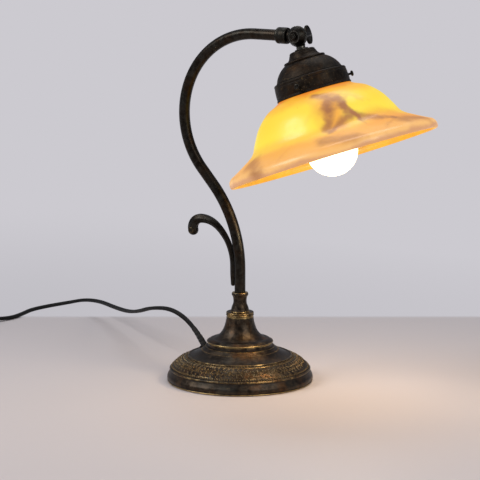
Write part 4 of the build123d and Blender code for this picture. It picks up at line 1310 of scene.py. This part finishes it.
def build_cord(sizes):
    """The flat cord with its four strain reliefs."""
    points = cord_line()
    marks = lengths_along(points)
    half, thin = sizes.cord_width / 2 / MM, sizes.cord_thickness / 2 / MM

    def twin(_, turn):
        waist = 1 - 0.2 * abs(cos(turn)) ** 8
        return thin * cos(turn) * waist * (1 + 0.12 * sin(2 * turn) ** 2), half * sin(turn)

    cord = piece(
        "mains_cord", swept(points, thin_ways(points), twin, 20, sharp=80.0), "stand",
        FINISH["cord_black"], ["cord_arch", "cord_lead_in", "cord_lead_out", "cord_coil"], "cord_black",
    )
    at_switch = min(range(len(points)), key=lambda k: (points[k].xy - Vector(SWITCH)).length)
    rubber = FINISH["black_rubber"]
    backwards = points[::-1]
    socket = SWITCH_HALF - 2.0
    for name, line, start, length, wide, narrow, rings in (
        ("relief_base", points, 0.0, 24.0, 4.4, 3.2, 5),
        ("relief_switch_in", backwards, marks[-1] - marks[at_switch] + socket, 22.0, 4.6, 3.1, 5),
        ("relief_switch_out", points, marks[at_switch] + socket, 22.0, 4.6, 3.1, 5),
        ("relief_plug", backwards, 0.0, 26.0, 4.8, 3.1, 6),
    ):
        mesh = sleeve(line, start, length, wide, narrow, rings)
        piece(name, mesh, "stand", rubber, slot="black_rubber")
    tuple(points[0] * MM)
    [tuple(p * MM) for p in points]


# ---- switch and plug ----
def build_grips():
    """Grip ribs across both ends of the cord switch."""
    plastic = FINISH["black_plastic"]
    heading = radians(SWITCH_HEADING)
    along = Vector((cos(heading), sin(heading), 0))
    low, high = (Vector(corner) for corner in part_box("switch_upper"))
    middle = (low + high) / 2
    bar = rib(11.0, 0.9, 0.45, 0.3)
    sunk, first_rib, pitch = 0.2 * MM, 18.5 * MM, 1.7 * MM
    rows = []
    for side in (1, -1):
        start = Vector((middle.x, middle.y, high.z - sunk)) + along * side * first_rib
        place = Matrix.Translation(start) @ Matrix.Rotation(heading + pi / 2, 4, "Z")
        rows.append(repeated(
            TREES["row"], bar, plastic, place, Count=4, Step=(0.0, -side * pitch, 0.0)
        ))
    piece("switch_grip_ribs", joined(*rows), "stand", plastic, slot="black_plastic")


def carry_over():
    """Every CAD piece that still shows takes its finish from its own slot."""
    for node in frame["nodes"].values():
        if node.hide_render:
            continue
        slot = node.data.materials[0].name.split(".")[0]
        node.material_slots[0].link = "OBJECT"
        node.material_slots[0].material = FINISH[slot]


# ---- stage ----
# the camera: degrees round from the lamp's own plane and down, metres off and up, and mm of lens
YAW = 32.0
PITCH = 10.2
CAMERA_REACH = 2.918
CAMERA_HEIGHT = 0.695
LENS = 187.5
# the table: where it ends behind the lamp and half its side, in metres
TABLE_EDGE = 0.363
TABLE_SIDE = 7.0
BACK = (-sin(radians(YAW)), cos(radians(YAW)), 0.0)
ASIDE = (cos(radians(YAW)), sin(radians(YAW)), 0.0)


def floor_finish(colours):
    """Pale matt table top, with painted shade darkening it towards the back, that ends behind the lamp,
    where the plain backdrop begins.
    """
    f = Finish("table_top")
    away = f.vector("DOT_PRODUCT", f.place, BACK)
    beyond = f.step(away, TABLE_EDGE - 0.008, TABLE_EDGE + 0.008)
    outwards = f.vector("LENGTH", f.place)
    beyond = f.bigger(beyond, f.step(outwards, 1.0, 2.2))
    cloud = f.noise(1.6, 2, 0.5)
    base = f.mix(cloud, (*colours.floor, 1.0), shaded(colours.floor, 0.97))
    # painted shade: the table top darkens towards its back edge
    base = f.mix(f.step(away, -0.2, 0.4), base, shaded((0.63, 0.59, 0.6), 0.85))
    shader = f.node("ShaderNodeBsdfPrincipled", (), {
        "Base Color": base, "Roughness": 0.6, "Specular IOR Level": 0.2,
    })
    across = f.vector("DOT_PRODUCT", f.place, ASIDE)
    # painted shade: the backdrop's emission is darker at its foot by the table and towards the left,
    # lighter further back and to the right
    lift = f.clamped(f.step(away, 0.37, 1.3) + f.step(across, -0.3, 0.5) * 0.6)
    lift = f.bigger(lift, f.step(outwards, 1.2, 3.0))
    far = f.mix(lift, (*colours.backdrop_shaded_foot, 1.0), (*colours.backdrop, 1.0))
    plain = f.node("ShaderNodeEmission", (), {"Color": far})
    both = f.node("ShaderNodeMixShader", (), {0: beyond, 1: shader.outputs[0], 2: plain.outputs[0]})
    f.tree.links.new(both.outputs[0], f.out.inputs["Surface"])
    return f.material


def build_world(colours):
    """Seen by the camera as the plain backdrop, and dimmer as a light."""
    world = bpy.data.worlds.new("studio")
    world.use_nodes = True
    tree = world.node_tree
    tree.nodes.clear()
    out = tree.nodes.new("ShaderNodeOutputWorld")
    seen = tree.nodes.new("ShaderNodeBackground")
    seen.inputs[0].default_value = (*colours.backdrop, 1.0)
    fill = tree.nodes.new("ShaderNodeBackground")
    fill.inputs[0].default_value = (0.86, 0.88, 1.0, 1.0)
    fill.inputs[1].default_value = 0.24
    ray = tree.nodes.new("ShaderNodeLightPath")
    both = tree.nodes.new("ShaderNodeMixShader")
    for source, target in (
        (ray.outputs["Is Camera Ray"], both.inputs[0]), (fill.outputs[0], both.inputs[1]),
        (seen.outputs[0], both.inputs[2]), (both.outputs[0], out.inputs[0]),
    ):
        tree.links.new(source, target)
    bpy.context.scene.world = world


def aimed(name, data, spot, way):
    """The light or camera at a spot, looking along a direction."""
    obj = bpy.data.objects.new(name, data)
    turn = way.to_track_quat("-Z", "Y").to_matrix().to_4x4()
    obj.matrix_world = Matrix.Translation(spot) @ turn
    bpy.context.scene.collection.objects.link(obj)
    return obj


def soft_light(name, spot, target, width, height, power, colour):
    """A soft box, in metres and watts, aimed at a target."""
    light = bpy.data.lights.new(name, "AREA")
    light.shape = "RECTANGLE"
    light.size, light.size_y = width, height
    light.energy = power
    light.color = colour
    aimed(name, light, spot, (Vector(target) - Vector(spot)).normalized())


def build_stage(colours):
    """The table top, the lights, the backdrop and the camera."""
    side = TABLE_SIDE
    floor = bpy.data.meshes.new("floor")
    floor.from_pydata(
        [(-side, -side, 0), (side, -side, 0), (side, side, 0), (-side, side, 0)], [], [(0, 1, 2, 3)]
    )
    floor.materials.append(floor_finish(colours))
    ground = bpy.data.objects.new("floor", floor)
    bpy.context.scene.collection.objects.link(ground)
    build_world(colours)
    middle = (0.0, 0.0, 0.2)
    soft_light("key", (-1.5, -1.6, 1.9), middle, 1.4, 1.1, 38, (1.0, 0.98, 0.97))
    soft_light("side", (1.9, -0.6, 1.5), middle, 0.7, 1.4, 15, (1.0, 0.97, 0.95))
    soft_light("top", (-0.2, 0.7, 2.2), middle, 1.6, 1.0, 16, (0.97, 0.98, 1.0))
    lamp = bpy.data.lights.new("bulb_light", "POINT")
    lamp.energy = 0.8
    lamp.color = (1.0, 0.78, 0.5)
    lamp.shadow_soft_size = 0.03
    aimed("bulb_light", lamp, KNUCKLE + HEAD_AXIS * 0.205, HEAD_AXIS)
    lens = bpy.data.cameras.new("camera")
    lens.sensor_width = 36.0
    lens.lens = LENS
    lens.clip_start, lens.clip_end = 0.05, 60.0
    turn, dip = radians(YAW), radians(PITCH)
    forward = Vector((-sin(turn) * cos(dip), cos(turn) * cos(dip), -sin(dip)))
    spot = Vector((CAMERA_REACH * sin(turn), -CAMERA_REACH * cos(turn), CAMERA_HEIGHT))
    bpy.context.scene.camera = aimed("camera", lens, spot, forward)
    bpy.context.scene.view_settings.view_transform = "Standard"


# ---- the add-on ----
def length_of(name, description, default):
    return FloatProperty(name=name, description=description, default=default, unit="LENGTH")


def colour_of(name, description, default):
    return FloatVectorProperty(
        name=name, description=description, default=default[:3], subtype="COLOR", size=3, min=0, max=1
    )


class LampSizes(bpy.types.PropertyGroup):
    """The sizes and counts of the lamp's ornament and cord."""

    flower_count: IntProperty(name="Flowers", description="Flowers round the base", default=32, min=8)
    leaf_count: IntProperty(name="Leaves", description="Leaves in each row", default=72, min=8)
    bead_count: IntProperty(name="Grains", description="Grains in the outer row", default=168, min=60)
    tooth_count: IntProperty(name="Teeth", description="Teeth round the knuckle", default=34, min=8)
    flower_rise: length_of("Flower rise", "How far the flowers stand out", 0.001)
    bead_radius: length_of("Grain radius", "Radius of a grain in the outer row", 0.001)
    cord_width: length_of("Cord width", "Width of the flat cord", 0.0054)
    cord_thickness: length_of("Cord thickness", "Thickness of the flat cord", 0.0051)
    cord_length: length_of("Cord length", "Length from the base to the plug", 1.85)


class LampColours(bpy.types.PropertyGroup):
    """The colours of the lamp's patina and of the stage."""

    patina_deep: colour_of("Deep patina", "Colour in the hollows", (0.022, 0.017, 0.013))
    patina_body: colour_of("Patina", "Main colour of the brass", (0.07, 0.053, 0.039))
    patina_cool: colour_of("Grey patina", "Cool tint in patches", (0.07, 0.068, 0.058))
    patina_warm: colour_of("Copper patina", "Warm tint in patches", (0.12, 0.058, 0.024))
    rubbed_brass: colour_of("Rubbed brass", "Colour of the worn edges", (0.52, 0.36, 0.15))
    floor: colour_of("Floor", "Colour of the table top", (0.64, 0.585, 0.575))
    backdrop: colour_of("Backdrop", "Colour behind the lamp", tone(204, 202, 208))
    # painted shade: the backdrop's darker foot by the table
    backdrop_shaded_foot: colour_of("Backdrop foot", "Backdrop near the table", tone(193, 191, 197))


class LAMP_OT_finishes(bpy.types.Operator):
    """Makes every finish of the lamp."""

    bl_idname = "lamp.finishes"
    bl_label = "Finishes"
    bl_options = {"REGISTER", "UNDO"}

    def execute(self, context):
        make_finishes(context.scene.lamp_colours)
        TREES.update(ring=ring_tree(), row=row_tree())
        return {"FINISHED"}


class LAMP_OT_stage(bpy.types.Operator):
    """Makes the camera, the soft lights, the table top and the backdrop."""

    bl_idname = "lamp.stage"
    bl_label = "Stage"
    bl_options = {"REGISTER", "UNDO"}

    def execute(self, context):
        build_stage(context.scene.lamp_colours)
        return {"FINISHED"}


class LAMP_OT_cord(bpy.types.Operator):
    """Makes the mains cord and its strain reliefs."""

    bl_idname = "lamp.cord"
    bl_label = "Cord"
    bl_options = {"REGISTER", "UNDO"}

    def execute(self, context):
        build_cord(context.scene.lamp_sizes)
        return {"FINISHED"}


class LAMP_OT_base(bpy.types.Operator):
    """Makes the turned base and its embossed rows."""

    bl_idname = "lamp.base"
    bl_label = "Base"
    bl_options = {"REGISTER", "UNDO"}

    def execute(self, context):
        build_base(context.scene.lamp_sizes)
        return {"FINISHED"}


class LAMP_OT_column(bpy.types.Operator):
    """Makes the bell, the beads and the vase of the column."""

    bl_idname = "lamp.column"
    bl_label = "Column"
    bl_options = {"REGISTER", "UNDO"}

    def execute(self, context):
        build_column()
        return {"FINISHED"}


class LAMP_OT_arm(bpy.types.Operator):
    """Makes the bent arm, its end collar and the scroll."""

    bl_idname = "lamp.arm"
    bl_label = "Arm"
    bl_options = {"REGISTER", "UNDO"}

    def execute(self, context):
        build_arm()
        return {"FINISHED"}


class LAMP_OT_knuckle(bpy.types.Operator):
    """Makes the toothed knuckle, its bolt and the wing nut."""

    bl_idname = "lamp.knuckle"
    bl_label = "Knuckle"
    bl_options = {"REGISTER", "UNDO"}

    def execute(self, context):
        build_knuckle(context.scene.lamp_sizes)
        return {"FINISHED"}


class LAMP_OT_head(bpy.types.Operator):
    """Makes the neck, cap, gallery and thumbscrews."""

    bl_idname = "lamp.head"
    bl_label = "Head"
    bl_options = {"REGISTER", "UNDO"}

    def execute(self, context):
        build_head()
        return {"FINISHED"}


class LAMP_OT_glass(bpy.types.Operator):
    """Makes the blown glass shade."""

    bl_idname = "lamp.glass"
    bl_label = "Shade glass"
    bl_options = {"REGISTER", "UNDO"}

    def execute(self, context):
        build_glass()
        return {"FINISHED"}


class LAMP_OT_bulb(bpy.types.Operator):
    """Makes the lit bulb and the rings of its holder."""

    bl_idname = "lamp.bulb"
    bl_label = "Bulb"
    bl_options = {"REGISTER", "UNDO"}

    def execute(self, context):
        build_lamp()
        return {"FINISHED"}


class LAMP_OT_switch(bpy.types.Operator):
    """Makes the grip ribs of the cord switch."""

    bl_idname = "lamp.switch"
    bl_label = "Cord switch"
    bl_options = {"REGISTER", "UNDO"}

    def execute(self, context):
        build_grips()
        return {"FINISHED"}


class LAMP_OT_fittings(bpy.types.Operator):
    """Gives every other fitting the finish of its own slot."""

    bl_idname = "lamp.fittings"
    bl_label = "Fittings"
    bl_options = {"REGISTER", "UNDO"}

    def execute(self, context):
        carry_over()
        return {"FINISHED"}


OPERATORS = (
    LAMP_OT_finishes,
    LAMP_OT_stage,
    LAMP_OT_switch,
    LAMP_OT_cord,
    LAMP_OT_base,
    LAMP_OT_column,
    LAMP_OT_arm,
    LAMP_OT_knuckle,
    LAMP_OT_head,
    LAMP_OT_glass,
    LAMP_OT_bulb,
    LAMP_OT_fittings,
)


class LAMP_PT_build(bpy.types.Panel):
    """The lamp's builders and its main sizes and colours."""

    bl_label = "Desk lamp"
    bl_idname = "LAMP_PT_build"
    bl_space_type = "VIEW_3D"
    bl_region_type = "UI"
    bl_category = "Lamp"

    def draw(self, context):
        for made in OPERATORS:
            self.layout.operator(made.bl_idname)
        for group in (context.scene.lamp_sizes, context.scene.lamp_colours):
            for name in group.__annotations__:
                self.layout.prop(group, name)


CLASSES = (LampSizes, LampColours, *OPERATORS, LAMP_PT_build)


def register():
    for made in CLASSES:
        bpy.utils.register_class(made)
    bpy.types.Scene.lamp_sizes = PointerProperty(type=LampSizes)
    bpy.types.Scene.lamp_colours = PointerProperty(type=LampColours)


def unregister():
    del bpy.types.Scene.lamp_colours
    del bpy.types.Scene.lamp_sizes
    for made in reversed(CLASSES):
        bpy.utils.unregister_class(made)


def main():
    register()
    for made in OPERATORS:
        getattr(bpy.ops.lamp, made.bl_idname.split(".")[1])()


if __name__ == "__main__":
    main()
